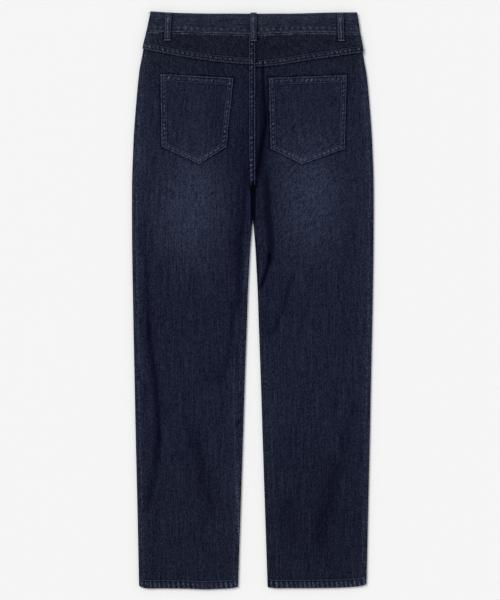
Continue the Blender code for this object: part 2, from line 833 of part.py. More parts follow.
def make_button():
    """The waistband's button, face down: a turned cap with a short neck."""
    profile = (
        (0.0, BUTTON_HEIGHT),
        (3.2, BUTTON_HEIGHT),
        (3.6, 1.5),
        (7.6, 1.4),
        (BUTTON_RADIUS, 0.9),
        (8.2, 0.2),
        (7.6, 0.0),
        (6.6, 0.0),
        (6.2, 0.3),
        (0.0, 0.3),
    )
    mesh = bpy.data.meshes.new("button")
    points = [(r * MM, 0.0, z * MM) for r, z in profile]
    mesh.from_pydata(points, [(i, i + 1) for i in range(len(points) - 1)], [])
    button = add("button", mesh, BUTTON_METAL)
    screw = button.modifiers.new("turned", "SCREW")
    screw.steps = 28
    screw.render_steps = 28
    screw.use_merge_vertices = True
    screw.merge_threshold = 0.00002
    middle = (front_seam(0.0) + curve(WAIST_EDGE, 0.0) - front_dip(0.0)) / 2
    button.location = (0.0, middle * MM, 0.0)


def clear_scene():
    for item in list(bpy.data.objects):
        bpy.data.objects.remove(item)
    for name in ("wide_leg_jeans", "shapes"):
        collection = bpy.data.collections.new(name)
        bpy.context.scene.collection.children.link(collection)
    bpy.data.collections["shapes"].hide_render = True
    garment = bpy.data.objects.new("jeans", None)
    bpy.data.collections["wide_leg_jeans"].objects.link(garment)


def main():
    clear_scene()
    make_backs()
    make_yokes()
    make_fronts()
    make_facings()
    make_waistband()
    make_back_pockets()
    make_back_loops()
    make_front_loops()
    make_slider(make_zip())
    make_button()


main()
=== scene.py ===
"""Wide leg jeans laid flat on their front, back uppermost: their look, over the packed solids.

X runs across the garment, -X on the wearer's left. Y runs up to the waist, Z is up.
The tables and the functions of form are in millimetres, and MM turns them into metres
where a mesh is made. Each piece of cloth is a thin shell on the form of its solid, with
the puckers, creases and wear of the sewn and washed cloth on it.
"""

import bpy
import numpy as np
from bpy.props import FloatProperty, FloatVectorProperty, PointerProperty
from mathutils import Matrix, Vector


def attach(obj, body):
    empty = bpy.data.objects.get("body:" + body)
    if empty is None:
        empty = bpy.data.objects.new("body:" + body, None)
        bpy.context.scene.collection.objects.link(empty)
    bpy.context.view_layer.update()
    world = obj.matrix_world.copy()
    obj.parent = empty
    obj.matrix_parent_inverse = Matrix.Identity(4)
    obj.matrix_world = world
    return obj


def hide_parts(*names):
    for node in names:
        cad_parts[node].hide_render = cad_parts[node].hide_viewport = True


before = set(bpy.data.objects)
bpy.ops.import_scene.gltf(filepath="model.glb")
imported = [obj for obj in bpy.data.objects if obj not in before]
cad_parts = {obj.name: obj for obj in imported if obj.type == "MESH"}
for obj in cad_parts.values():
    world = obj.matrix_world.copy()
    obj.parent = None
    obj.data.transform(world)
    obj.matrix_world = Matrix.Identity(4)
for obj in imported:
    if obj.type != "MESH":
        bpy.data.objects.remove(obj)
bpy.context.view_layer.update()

bl_info = {
    "name": "Wide leg jeans",
    "version": (1, 0, 0),
    "blender": (4, 5, 0),
    "location": "3D View > Sidebar > Jeans",
    "description": "Dresses the solids of a pair of wide leg jeans in sewn and washed denim",
    "category": "Object",
}

MM = 0.001

# ---------------------------------------------------------------------------
# Sizes of the garment, as in its solids
# ---------------------------------------------------------------------------
SEAM_GAP = 0.3
BAND_GAP = 0.2
LAP_WIDTH = 10.0
LAP_MARGIN = 1.5
LAP_RAMP = 6.0
TUCK_LENGTH = 45.0
EDGE_DROP = 0.5
CROTCH_GAP = 0.35
CROTCH = 210.0
HEM = -532.0
HEM_DEPTH = 15.0
HEM_RISE = (60.0, 18.0)
FLY_END = 345.0
YOKE_LINE = 445.0
FRONT_LINE = 490.0
LEVEL_ROWS = 330.0
BACK_LAP_FOOT = 426.5
BACK_LAP_FULL = 430.5
LEG_HEIGHT = 4.2
SEAM_RIDGE = 1.3
SEAM_RIDGE_WIDTH = 13.0
HEM_HEIGHT = 6.4
WAIST_LIFT = 2.2
WAIST_LIFT_LENGTH = 60.0
FLY_LUMP_REACH = (28.0, 85.0)
FRONT_DIP = 12.0
FRONT_DIP_REACH = 190.0
POCKET_MOUTH = (101.0, 70.0)
POCKET_MOUTH_SIDE = 206.0
FACING_REACH = 112.0
FACING_DEPTH = 96.0
FACING_CLEARANCE = 0.5
FACING_INSET = 2.8
FACING_LUMP = 0.9
FACING_LUMP_FROM = (365.0, 60.0)
FACING_LUMP_FULL = (388.0, 84.0)
BAND_OVERLAP = (18.0, -25.0)
BAND_STEP = (45.0, 24.0)
BAND_REACH = 190.0
LOOP_WIDTH = 11.5
LOOP_CLOTH = 1.6
LOOP_END_CLOTH = 2.2
LOOP_RISE = 0.9
LOOP_CLEARANCE = 0.5
ZIP_MIDDLE = -13.5
ZIP_TAPE = 0.8
ZIP_BED = 1.6
ZIP_BELOW_BAND = 34.0
ZIP_PITCH = 2.4
# across from the chain's middle, and how far the tape rises there to meet the teeth
TAPE_HALF = ((7.5, 0.0), (5.2, 0.0), (3.3, 0.0), (2.5, 0.5), (1.4, 0.7), (0.3, 0.7))
TAPE_PROFILE = (*TAPE_HALF, *((-across, rise) for across, rise in reversed(TAPE_HALF)))
# one tooth from above, from its heel on the tape to its nose past the middle
TOOTH_SIDE = ((-2.4, -0.42), (-2.0, -0.55), (-0.5, -0.55), (0.9, -0.38))
TOOTH = (*TOOTH_SIDE, (1.15, 0.0), *((across, -out) for across, out in reversed(TOOTH_SIDE)))
# height on a tooth, and the size of its outline there
TOOTH_RINGS = ((0.0, 0.8), (0.3, 1.0), (1.9, 1.0), (2.2, 0.8))

# height, half width to the wearer's left, and to the right
SIDE_SEAM = (
    (535.0, 189.3, 192.8), (515.0, 193.7, 195.7), (493.0, 198.1, 199.5), (471.0, 203.2, 203.5),
    (445.0, 207.4, 207.2), (400.0, 212.7, 212.6), (356.0, 216.5, 216.5), (312.0, 219.9, 219.8),
    (267.0, 221.9, 221.9), (223.0, 223.4, 223.4), (178.0, 223.7, 223.7), (112.0, 223.5, 223.4),
    (0.0, 221.8, 221.9), (-132.0, 219.2, 219.1), (-266.0, 216.4, 216.4), (-399.0, 213.2, 213.2),
    (-510.0, 210.9, 210.7), (-535.0, 210.3, 209.9),
)
# height, half of the gap between the legs
INSEAM = (
    (222.0, 0.5), (195.0, 0.5), (170.0, 0.7), (150.0, 1.0), (134.0, 1.9), (112.0, 3.7), (90.0, 5.3),
    (67.0, 6.5), (23.0, 8.8), (-44.0, 11.1), (-132.0, 14.3), (-266.0, 18.6), (-399.0, 23.0),
    (-510.0, 26.8), (-535.0, 27.7),
)
# across, height of the waistband's upper edge at the back
WAIST_EDGE = (
    (-190.0, 534.5), (-157.0, 532.3), (-113.0, 530.8), (-54.0, 529.9), (20.0, 529.5), (80.0, 530.3),
    (139.0, 532.0), (193.0, 532.6),
)
# across, height of the seam under the waistband at the back
WAIST_SEAM = (
    (-198.0, 497.8), (-97.0, 494.9), (0.0, 492.3), (100.0, 495.6), (171.0, 494.9), (199.0, 493.8),
)
# across, height of the yoke's lower edge
YOKE_EDGE_LEFT = ((-204.0, 465.5), (-147.0, 453.9), (-49.0, 439.8), (6.0, 435.2))
YOKE_EDGE_RIGHT = ((-6.0, 431.2), (9.0, 431.6), (118.0, 446.6), (205.0, 459.1))
# across, height of the hem's edge
HEM_LEFT = (
    (-210.6, -527.3), (-206.0, -530.8), (-201.7, -531.9), (-172.0, -532.6), (-127.7, -533.1),
    (-83.3, -534.5), (-68.5, -533.9), (-38.9, -532.2), (-27.6, -530.4),
)
HEM_RIGHT = (
    (27.6, -530.6), (35.0, -531.8), (65.0, -532.2), (124.0, -532.0), (154.0, -531.6),
    (183.0, -530.1), (198.0, -528.6), (205.0, -526.9), (210.3, -524.5),
)
# height, how high the back stands over the fly
FLY_LUMP = (
    (530.0, 2.7), (480.0, 2.7), (430.0, 2.6), (345.0, 2.3), (290.0, 1.0), (230.0, 0.5),
    (150.0, 0.0),
)
# Folds of the back that its solids have: depth, half width, and the line of the fold
SIDE_TROUGH_LEFT = (
    (-203, 186), (-200, 38), (-191, -73), (-178, -175), (-172, -258), (-176, -323), (-191, -378),
    (-198, -415),
)
FOLDS = (
    (1.3, 8.0, SIDE_TROUGH_LEFT),
    (0.7, 14.0, ((-40, -80), (-57, -125), (-76, -172))),
    (1.0, 20.0, ((-122, -228), (-98, -295), (-83, -360), (-73, -418))),
    (0.9, 9.0, ((-20, 236), (-26, 140), (-28, 44))),
    (0.7, 5.0, ((-16, 424), (-16, 276))),
    (1.3, 6.5, ((19, 426), (22, 371), (18, 297), (15, 226))),
    (1.3, 6.0, ((17, 214), (26, 158), (35, 97), (31, 60), (18, 26))),
    (0.8, 7.0, ((73, 42), (63, -14), (46, -51), (24, -66))),
    (1.0, 22.0, ((186, -252), (152, -336), (133, -406), (126, -500))),
    (0.7, 20.0, ((52, -358), (88, -482))),
    (0.5, 9.0, ((192, -176), (170, -245))),
    (0.5, 9.0, ((203, 374), (209, 238))),
)

# Patch pockets: corners as across, height
POCKET_CLOTH = 1.2
POCKET_BORDER_CLOTH = 1.7
POCKET_BORDER = 10.5
POCKET_CLEARANCE = 0.6
BACK_POCKETS = {
    "pocket_back_left": {
        "top": ((-170.6, 418.6), (-35.5, 411.0)),
        "bottom": ((-168.7, 284.0), (-98.8, 252.0), (-48.8, 284.0)),
    },
    "pocket_back_right": {
        "top": ((29.6, 411.0), (174.2, 416.8)),
        "bottom": ((33.1, 280.2), (91.8, 251.6), (170.4, 280.2)),
    },
}
# Belt loops of the back: across at the waist edge, across at the lower end,
# height of the upper end, height of the lower end
BACK_LOOPS = {
    "belt_loop_back_left": (-155.4, -157.8, 531.8, 479.8),
    "belt_loop_back_centre": (1.4, 1.6, 531.0, 478.2),
    "belt_loop_back_right": (161.8, 163.8, 531.8, 479.0),
}
FRONT_LOOP_ACROSS = 92.0
FRONT_LOOP_BELOW_SEAM = 13.0

# ---------------------------------------------------------------------------
# What sewing, wear and washing add
# ---------------------------------------------------------------------------
# Smaller creases of the back: height over the cloth, half width, and the line of the crease
BACK_CREASES = (
    # ridges that lean on the deep folds
    (0.45, 5.0, ((-214, 150), (-211, 20), (-205, -90), (-196, -190), (-192, -262), (-199, -340))),
    (0.4, 8.0, ((-184, 20), (-172, -80), (-158, -178), (-154, -262), (-160, -330))),
    (0.5, 5.0, ((31, 420), (34, 372), (30, 300), (28, 240))),
    (0.45, 5.0, ((33, 206), (41, 150), (48, 98), (45, 52), (31, 12))),
    (0.3, 6.0, ((84, 40), (74, -18), (58, -58), (36, -78))),
    (0.3, 6.0, ((-38, 210), (-44, 130), (-45, 40), (-40, -40))),
    # slack over the seat and in the pockets
    (-0.45, 5.0, ((-73, 402), (-72, 350), (-67, 300))),
    (-0.3, 7.0, ((-52, 452), (-60, 428), (-64, 404))),
    (-0.3, 6.0, ((-186, 402), (-190, 340), (-186, 290))),
    (-0.25, 9.0, ((120, 404), (112, 352), (117, 300))),
    (-0.25, 6.0, ((186, 404), (190, 350), (187, 300))),
    (0.25, 8.0, ((60, 474), (96, 470), (128, 478))),
    (-0.3, 6.0, ((18, 486), (20, 456), (22, 436))),
    (-0.25, 6.0, ((-20, 484), (-18, 456))),
    # drag lines at the crotch
    (-0.4, 4.0, ((-8, 222), (-34, 196), (-62, 182))),
    (-0.35, 4.5, ((14, 200), (46, 168), (84, 152))),
    (-0.3, 5.0, ((-10, 168), (-38, 128), (-54, 84))),
    # slack down the left leg
    (-0.3, 8.0, ((-150, 92), (-120, 70), (-92, 76))),
    (-0.3, 7.0, ((-206, -20), (-170, -38), (-140, -36))),
    (0.25, 9.0, ((-120, -30), (-92, -48), (-58, -40))),
    (-0.3, 8.0, ((-104, -120), (-84, -150), (-46, -158))),
    (-0.35, 9.0, ((-120, -420), (-96, -452), (-62, -458))),
    (0.3, 8.0, ((-150, -380), (-128, -418), (-92, -440))),
    (-0.3, 6.0, ((-56, -210), (-46, -262), (-50, -310))),
    (0.3, 7.0, ((-30, -180), (-34, -260), (-36, -350), (-38, -440))),
    # slack down the right leg
    (-0.3, 8.0, ((196, 84), (166, 62), (140, 66))),
    (-0.3, 8.0, ((110, -70), (140, -92), (178, -88))),
    (0.25, 8.0, ((70, -150), (104, -172), (136, -166))),
    (-0.35, 9.0, ((40, -232), (72, -262), (112, -262))),
    (-0.3, 7.0, ((204, -268), (196, -330), (200, -396))),
    (0.35, 9.0, ((98, -300), (104, -380), (96, -470))),
    (0.3, 7.0, ((30, -170), (33, -250), (36, -330), (42, -430))),
    (-0.3, 8.0, ((70, -470), (110, -486), (150, -478))),
)
# The same of the front, which lies underneath
FRONT_CREASES = (
    (-0.5, 6.0, ((20, 330), (52, 300), (92, 288))),
    (-0.5, 5.0, ((16, 290), (48, 254), (90, 236))),
    (-0.45, 6.0, ((14, 244), (44, 202), (80, 176))),
    (-0.5, 6.0, ((-20, 326), (-56, 304), (-98, 296))),
    (-0.45, 5.0, ((-16, 284), (-50, 246), (-88, 232))),
    (-0.4, 6.0, ((-14, 236), (-40, 190), (-70, 160))),
    (-0.4, 9.0, ((-190, 60), (-150, 34), (-104, 40))),
    (-0.4, 9.0, ((196, 40), (150, 20), (110, 28))),
    (-0.5, 8.0, ((-60, -40), (-110, -62), (-168, -54))),
    (-0.45, 8.0, ((48, -60), (96, -84), (150, -74))),
    (-0.4, 9.0, ((-50, -110), (-100, -134), (-160, -124))),
    (-0.4, 8.0, ((60, -128), (110, -150), (176, -140))),
    (-0.4, 10.0, ((-80, -330), (-96, -400), (-90, -470))),
    (-0.4, 10.0, ((100, -310), (112, -390), (104, -460))),
)
# Where the cloth is washed paler or made darker: share of the paler shade, across, height,
# and the reach of the patch each way
WASH = (
    (0.125, -116, 174, 64, 96), (0.030, -98, 204, 22, 40), (0.118, 106, 186, 60, 100),
    (0.026, 116, 222, 22, 36), (0.022, 58, 262, 26, 50), (0.022, -104, 350, 120, 84),
    (-0.020, -66, 356, 18, 80), (0.012, 112, 340, 110, 80), (0.050, -198, 482, 24, 40),
    (-0.040, 2, 330, 36, 130), (-0.030, -33, 120, 18, 130), (-0.020, 34, 170, 16, 110),
    (-0.008, -90, -332, 36, 92), (0.016, -42, -290, 15, 210), (-0.016, 116, -400, 90, 150),
    (0.020, 34, -190, 26, 90), (0.030, 206, 150, 18, 340), (0.034, -208, 330, 18, 130),
    (0.040, -212, 100, 12, 260), (0.014, -208, -330, 12, 260), (-0.014, 0, 470, 240, 26),
    (-0.012, -70, 418, 40, 26), (-0.018, -66, 345, 10, 55), (0.010, 118, 305, 50, 34),
    (-0.018, -34, 268, 28, 40), (0.012, -124, 90, 40, 50), (0.006, 110, -60, 110, 160),
)

# Lines painted darker or paler: amount, reach, and the line. The darker ones are painted shade
# in folds and troughs and painted shadow in the gap between the legs; the paler ones are wear.
PAINTED_SHADE_AND_WEAR = (
    # painted shade in the deep fold beside the centre back seam
    (-1.10, 2.3, ((17, 446), (18.5, 420), (20, 385), (25, 345))),
    (-1.15, 4.2, ((24, 364), (24, 328), (19, 298), (12, 262), (9, 240), (8.5, 214))),
    (-0.34, 8.0, ((14, 420), (18, 340), (17, 270), (16, 214))),
    (-0.30, 3.0, ((28, 304), (26, 272), (21, 244))),
    # painted shade in the folds from the crotch
    (-0.45, 5.0, ((-12, 262), (-14, 214), (-17, 160), (-19, 110))),
    (-0.70, 7.2, ((22, 248), (26, 224), (29, 167), (33, 112), (31, 78), (27, 58))),
    (-0.80, 1.6, ((3.5, 128), (5.5, 112), (8.0, 93), (9.8, 47), (10.5, 12))),
    (-1.10, 3.4, ((32, 92), (30, 72), (25, 53), (13, 16))),
    (-0.22, 7.0, ((22, -6), (24, -45), (26, -78))),
    (-0.50, 4.6, ((74, 56), (70, 40), (65, 19), (55, -14), (46, -40), (37, -60), (20, -58))),
    # painted shadow down the gap between the legs, almost black
    (-1.80, 2.0, ((-5.5, 226), (-4.0, 212), (-2.0, 200), (-1.5, 172), (-2.0, 138))),
    (-1.80, 2.1, ((8.5, 226), (6.0, 212), (3.2, 200), (2.8, 172), (3.0, 138))),
    (-1.80, 2.6, ((1.5, 224), (1.2, 212), (1.0, 204), (1.0, 192))),
    (-0.20, 6.0, ((17, 226), (15, 205), (14, 175), (16, 140))),
    # painted shade in the trough down the outside of the left leg
    (-0.40, 4.4, ((-201, 170), (-199, 110), (-198, 80), (-194, 10), (-194, -45), (-189, -92))),
    (-0.62, 5.0,
     ((-194, -20), (-191, -80), (-181, -138), (-177, -197), (-174, -243), (-174, -280))),
    (-0.50, 6.5,
     ((-174, -230), (-175, -267), (-180, -304), (-184, -336), (-191, -373), (-199, -402))),
    (-0.30, 2.6, ((-216, -132), (-204, -150), (-192, -172))),
    # painted shade in the troughs down its inside
    (-0.42, 6.0, ((-23, 150), (-24, 90), (-24, 20), (-27, -34))),
    (-0.36, 6.5, ((-36, 10), (-39, -50), (-43, -90), (-53, -122), (-66, -170))),
    (-0.85, 2.0, ((-21, -218), (-27, -226), (-33, -236))),
    (-0.25, 4.0, ((-24, -165), (-25, -240))),
    (-0.18, 5.0, ((-43, -320), (-43, -405))),
    (-0.10, 9.0, ((-176, -330), (-178, -500))),
    (-0.26, 6.0, ((-124, -206), (-120, -240), (-114, -280))),
    (-0.24, 8.0, ((-106, -224), (-98, -290), (-96, -336), (-80, -382), (-68, -414))),
    # and painted shade in those down the right leg
    (-0.24, 6.0, ((194, -180), (178, -230), (164, -280))),
    (-0.26, 14.0, ((164, -280), (146, -330), (138, -390), (122, -410), (132, -480))),
    (-0.16, 12.0, ((60, -360), (66, -400), (80, -440))),
    # rubbed lines over the seam allowances of the legs
    (0.20, 2.2, ((-33, -60), (-35, -200), (-31, -330), (-25, -440), (-24, -512))),
    (0.19, 2.6, ((-9, 104), (-11, 60), (-14, 18))),
    (0.24, 3.2, ((-28, -330), (-26, -400), (-25, -460))),
    (0.12, 1.4, ((30, -100), (33, -210), (38, -330), (44, -450), (47, -512))),
)

FELLED_ROWS = (2.0, 10.8)  # rows of a felled seam, in from its folded edge
CENTRE_ROWS = (1.6, 11.0)
POCKET_ROWS = (1.7, 9.4)
POCKET_HEM_ROWS = (1.7, 12.0)
HEM_ROW = 14.4
BAND_ROWS = (2.6, 3.0)  # below the band's upper edge, and above its lower one
LOOP_ROW = 1.9  # in from each side of a belt loop
MOUTH_ROWS = (2.0, 8.4)
FLY_ROWS = (37.0, 43.0)  # across from the fly's edge


def length_property(name, description, default):
    return FloatProperty(
        name=name, description=description, default=default, unit="LENGTH", precision=5
    )


def factor_property(name, description, default):
    return FloatProperty(name=name, description=description, default=default, subtype="FACTOR")


def colour_property(name, description, default):
    return FloatVectorProperty(
        name=name, description=description, default=default, subtype="COLOR", size=3
    )


class JeansCloth(bpy.types.PropertyGroup):
    """Sizes of the sewn cloth."""

    wall: length_property("Denim", "Wall of one layer of denim", 0.0012)
    band_wall: length_property("Waistband", "Wall of the waistband, which is two layers", 0.0024)
    hem_wall: length_property("Hem", "Wall of the turned and pressed hem", 0.0024)
    edge: length_property("Edge rounding", "How far the cloth's folded edges are rounded", 0.00035)
    pucker: length_property(
        "Pucker", "Height of the puckers that sewing and washing leave along the seams", 0.00042
    )
    pucker_length: length_property(
        "Pucker length", "From one pucker to the next along a seam", 0.0086
    )
    crease: factor_property(
        "Creases", "How deep the small creases are, as a share of their own sizes", 1.0
    )
    spacing: length_property(
        "Spacing", "From one row of points to the next in the middle of a panel", 0.0032
    )


class JeansDenim(bpy.types.PropertyGroup):
    """Shades of the washed denim."""

    indigo: colour_property("Indigo", "The cloth where its dye is whole", (0.0029, 0.0033, 0.0125))
    washed: colour_property("Washed", "The cloth where its dye is worn off", (0.102, 0.131, 0.226))
    shade: factor_property("Shade", "Share of the washed shade over the whole cloth", 0.078)
    rub: factor_property("Rub", "How pale the seams and edges are rubbed", 0.36)
    # painted shade, with some dye left beside the seams: how far the darker side of a mesh's mark
    # darkens the cloth
    kept: factor_property("Kept", "How dark the cloth stays beside the seams", 0.10)
    mottle: factor_property("Mottle", "How far the single yarns differ in shade", 1.0)
    twill: length_property("Twill", "From one diagonal rib of the weave to the next", 0.00095)
    relief: length_property("Relief", "Depth of the weave", 0.00022)


class JeansThread(bpy.types.PropertyGroup):
    """Sewing thread and the rows sewn with it."""

    colour: colour_property("Colour", "Thread of the seams", (0.078, 0.095, 0.160))
    pitch: length_property("Pitch", "From one stitch to the next", 0.0031)
    length: length_property("Length", "Length of a stitch that shows", 0.0029)
    width: length_property("Thickness", "Thickness of the thread", 0.0008)


class JeansMetal(bpy.types.PropertyGroup):
    """Metal of the button and the zip, and the zip's tape."""

    colour: colour_property("Colour", "The metal where it is clean", (0.42, 0.37, 0.30))
    tarnish: colour_property("Tarnish", "The metal where it is dull", (0.16, 0.13, 0.10))
    tape: colour_property("Tape", "The zip's woven tape", (0.020, 0.025, 0.045))


class JeansStage(bpy.types.PropertyGroup):
    """Floor, lights and camera."""

    floor: colour_property("Floor", "Colour of the floor", (0.925, 0.925, 0.927))
    key: FloatProperty(
        name="Key light",
        description="Strength of the wide light from above and to one side",
        default=1.82,
    )
    fill: FloatProperty(
        name="Fill light",
        description="Strength of the even light from all round",
        default=0.54,
    )
    frame_height: length_property("Frame", "Height of what the camera shows", 1.110)


# ---------------------------------------------------------------------------
# Form of the garment
# ---------------------------------------------------------------------------
def curve(table, at, column=1):
    """A smooth curve through a table's rows, read at places in its first column."""
    rows = np.array(sorted(table))
    places, values = rows[:, 0], rows[:, column]
    slopes = np.gradient(values, places)
    i = np.clip(np.searchsorted(places, at) - 1, 0, len(places) - 2)
    step = places[i + 1] - places[i]
    t = np.clip((at - places[i]) / step, 0.0, 1.0)
    return (
        (2 * t**3 - 3 * t**2 + 1) * values[i]
        + (t**3 - 2 * t**2 + t) * step * slopes[i]
        + (3 * t**2 - 2 * t**3) * values[i + 1]
        + (t**3 - t**2) * step * slopes[i + 1]
    )


def ease(at, start, end):
    """From 0 at start to 1 at end, with no corner."""
    t = np.clip((at - start) / (end - start), 0.0, 1.0)
    return t * t * (3 - 2 * t)


def mix(a, b, share):
    return a + (b - a) * share


def bump(at, middle, reach):
    """1 at middle, falling away to nothing either side."""
    return np.exp(-(((at - middle) / reach) ** 2))


def steps(start, end, size):
    """Even steps from start up to, but not at, end."""
    count = max(1, round(abs(end - start) / size))
    return list(np.linspace(start, end, count + 1)[:-1])


def half_width(side, y):
    return curve(SIDE_SEAM, y, 1 if side < 0 else 2)


def yoke_edge(side, x):
    return curve(YOKE_EDGE_LEFT if side < 0 else YOKE_EDGE_RIGHT, x)


def hem_edge(side, x):
    return curve(HEM_LEFT if side < 0 else HEM_RIGHT, x)


def front_dip(x):
    return FRONT_DIP * np.cos(np.pi / 2 * np.clip(x / FRONT_DIP_REACH, -1, 1)) ** 2


def front_seam(x):
    """Height of the seam under the waistband at the front."""
    return curve(WAIST_SEAM, x) - front_dip(x)


def mouth_edge(x):
    """Height of the front's upper edge, which the pocket's mouth cuts away near the side."""
    across, down = POCKET_MOUTH
    past = np.clip((POCKET_MOUTH_SIDE - np.abs(x)) / across, 0, 1)
    return front_seam(x) - BAND_GAP - down * np.sqrt(1 - past**2)


def inner_edge(side, y, face="back"):
    """The edge of a leg at the inseam, which crosses the centre line in the rise above it."""
    legs_apart = ease(y, CROTCH + 14, CROTCH - 1)
    gap = curve(INSEAM, y)
    if face == "front":
        gap = mix(gap, 0.02, ease(y, 134.0, 152.0))
    return side * mix(-LAP_WIDTH / 2, gap, legs_apart)


def along_line(x, y, line):
    """How far points are from a line, and how far along it the nearest place is, as a share."""
    line = np.array(line, float)
    starts, runs = line[:-1], np.diff(line, axis=0)
    lengths = np.hypot(*runs.T)
    done = np.concatenate([[0.0], np.cumsum(lengths)])
    nearest = np.full(np.shape(x), np.inf)
    along = np.zeros(np.shape(x))
    for start, run, length, before in zip(starts, runs, lengths, done):
        t = ((x - start[0]) * run[0] + (y - start[1]) * run[1]) / length**2
        t = np.clip(t, 0.0, 1.0)
        away = np.hypot(x - start[0] - t * run[0], y - start[1] - t * run[1])
        along = np.where(away < nearest, (before + t * length) / done[-1], along)
        nearest = np.minimum(away, nearest)
    return nearest, along


def creased(x, y, table):
    """Sum of the soft ridges of a table of creases."""
    height = np.zeros(np.shape(x))
    for tall, reach, line in table:
        nearest, along = along_line(x, y, line)
        fades = ease(along, 0.0, 0.3) * ease(along, 1.0, 0.7)
        height += tall * fades * np.exp(-((nearest / reach) ** 2))
    return height


def waist_lift(y, seam):
    return WAIST_LIFT * ease(y, seam - WAIST_LIFT_LENGTH, seam - 6.0)


def over_fly(x):
    return 1 - ease(np.abs(x), *FLY_LUMP_REACH)


def near_hem(y):
    start, end = HEM_RISE
    return ease(y, HEM + start, HEM + end)


def front_height(x, y):
    return waist_lift(y, front_seam(x))


def from_side_seam(x, y):
    return np.where(x < 0, half_width(-1, y), half_width(1, y)) - np.abs(x)


def from_inseam(x, y):
    return np.abs(x) - curve(INSEAM, y)


def back_height(x, y):
    """The back's outer face, as one layer."""
    legs = ease(y, CROTCH + 20, CROTCH - 30)
    ridge = bump(from_side_seam(x, y), 0.0, SEAM_RIDGE_WIDTH)
    ridge = ridge + legs * bump(from_inseam(x, y), 0.0, SEAM_RIDGE_WIDTH)
    lift = waist_lift(y, curve(WAIST_SEAM, x))
    height = LEG_HEIGHT + SEAM_RIDGE * ridge * (1 - 0.6 * lift / WAIST_LIFT)
    height += lift + curve(FLY_LUMP, y) * over_fly(x)
    (low, inner), (high, outer) = FACING_LUMP_FROM, FACING_LUMP_FULL
    height += FACING_LUMP * ease(y, low, high) * ease(np.abs(x), inner, outer)
    height -= creased(x, y, FOLDS)
    return mix(height, HEM_HEIGHT, near_hem(y))


def seam_level(x, y):
    level = (LEG_HEIGHT + SEAM_RIDGE) / 2 + 0.8 * waist_lift(y, front_seam(x))
    return mix(level, HEM_HEIGHT / 2, near_hem(y))


# ---------------------------------------------------------------------------
# Puckers, wear and painted shade. Each function gives a height in millimetres and a share of
# rubbing, which below nothing is painted shade, partly dye left in hollows.
# Their plain numbers are distances in millimetres, and strengths.
# ---------------------------------------------------------------------------
def uneven(along, period, seed):
    """Bumps along a seam, from -1 to 1, no two of them alike."""
    wander = 0.9 * np.sin(along / 31.0 + seed) + 0.7 * np.sin(along / 13.7 + 2.3 * seed)
    swell = 0.72 + 0.28 * np.sin(along / 41.0 + 1.7 * seed) * np.sin(along / 17.0 + seed)
    return swell * np.sin(2 * np.pi * along / period + wander)


def two_row_seam(inward, along, rows, seed, cloth, slant=0.45):
    """A seam that is sewn down with two rows, over the distance in from its folded edge."""
    near, far = rows
    middle, reach = (near + far) / 2, (far - near) / 2
    bumps = uneven(along + slant * inward, cloth.pucker_length / MM, seed)
    fine = uneven(along - 0.3 * inward, 0.56 * cloth.pucker_length / MM, 1.9 * seed + 0.4)
    puffed = np.exp(-(((inward - middle) / (0.72 * reach)) ** 4))
    sunk = bump(inward, near, 0.9) + bump(inward, far, 0.9)
    past = np.where(inward > far, np.exp(-np.maximum(inward - far, 0) / 5.0), 0.0)
    before = np.where(inward < 0, np.exp(np.minimum(inward, 0) / 4.0), 0.0)
    pucker = cloth.pucker / MM
    height = pucker * (puffed * (0.45 + 0.55 * bumps) - 0.75 * sunk)
    height += 0.3 * pucker * bumps * (past + 0.7 * before)
    dots = np.clip(0.65 * bumps + 0.45 * fine, -1, 1)
    narrow = bump(inward, middle, 0.62 * reach)
    rubbed = narrow * (0.22 + 1.55 * np.maximum(dots, 0) + 0.9 * np.minimum(dots, 0))
    broken = 0.62 + 0.38 * uneven(along, 0.8 * cloth.pucker_length / MM, 2.7 * seed)
    # the pale line at the folded edge is wear; the darker lines by the rows, here and in the next
    # line, are painted shade
    rubbed += 1.05 * broken * bump(inward, 0.4, 0.8) - 0.85 * bump(inward, near + 1.3, 0.8)
    rubbed -= 0.6 * bump(inward, far - 1.2, 0.7) + 0.55 * bump(inward, far + 1.6, 0.9)
    rubbed *= 1.0 + 0.35 * uneven(along, 47.0, seed + 0.9)
    rubbed += 0.16 * bumps * past
    # painted shadow of the folded edge on the cloth just outside it
    rubbed -= 0.8 * np.where(inward < -0.2, bump(inward, -1.4, 1.3), 0.0)
    return height, rubbed


def hem_wear_and_shade(x, y, side, cloth):
    inward = y - hem_edge(side, x)
    bumps = uneven(x + 0.18 * inward, cloth.pucker_length / MM, 1.3 + side)
    turned = ease(inward, HEM_ROW + 0.5, HEM_ROW - 2.5)
    past = np.where(inward > HEM_ROW, np.exp(-np.maximum(inward - HEM_ROW, 0) / 5.0), 0.0)
    pucker = cloth.pucker / MM
    sunk = bump(inward, HEM_ROW, 0.9)
    height = pucker * (0.75 * turned * bumps - 0.8 * sunk + 0.3 * past * bumps)
    sharp = np.where(bumps > 0, np.maximum(bumps, 0) ** 1.3, 0.8 * bumps)
    rubbed = turned * (0.23 + 0.88 * sharp) + 0.3 * bump(inward, 0.0, 1.6)
    # the darker lines beside the hem's row, here and in the next line, are painted shade
    rubbed += 0.12 * past * bumps - 0.7 * bump(inward, HEM_ROW - 1.9, 1.2)
    rubbed += 0.35 * bump(inward, HEM_ROW + 0.2, 0.8) - 0.35 * bump(inward, HEM_ROW + 2.2, 1.2)
    return height, rubbed


def side_wear(inward, y, seed, cloth):
    """The allowances of a plain seam show through as a rubbed ridge beside it."""
    bumps = uneven(y, 1.5 * cloth.pucker_length / MM, seed)
    height = 0.35 * (cloth.pucker / MM) * bumps * bump(inward, 5.0, 4.5)
    rubbed = (0.24 + 0.12 * bumps) * bump(inward, 2.6, 1.2)
    rubbed += (0.22 + 0.14 * bumps) * bump(inward, 8.2, 2.2)
    return height, rubbed


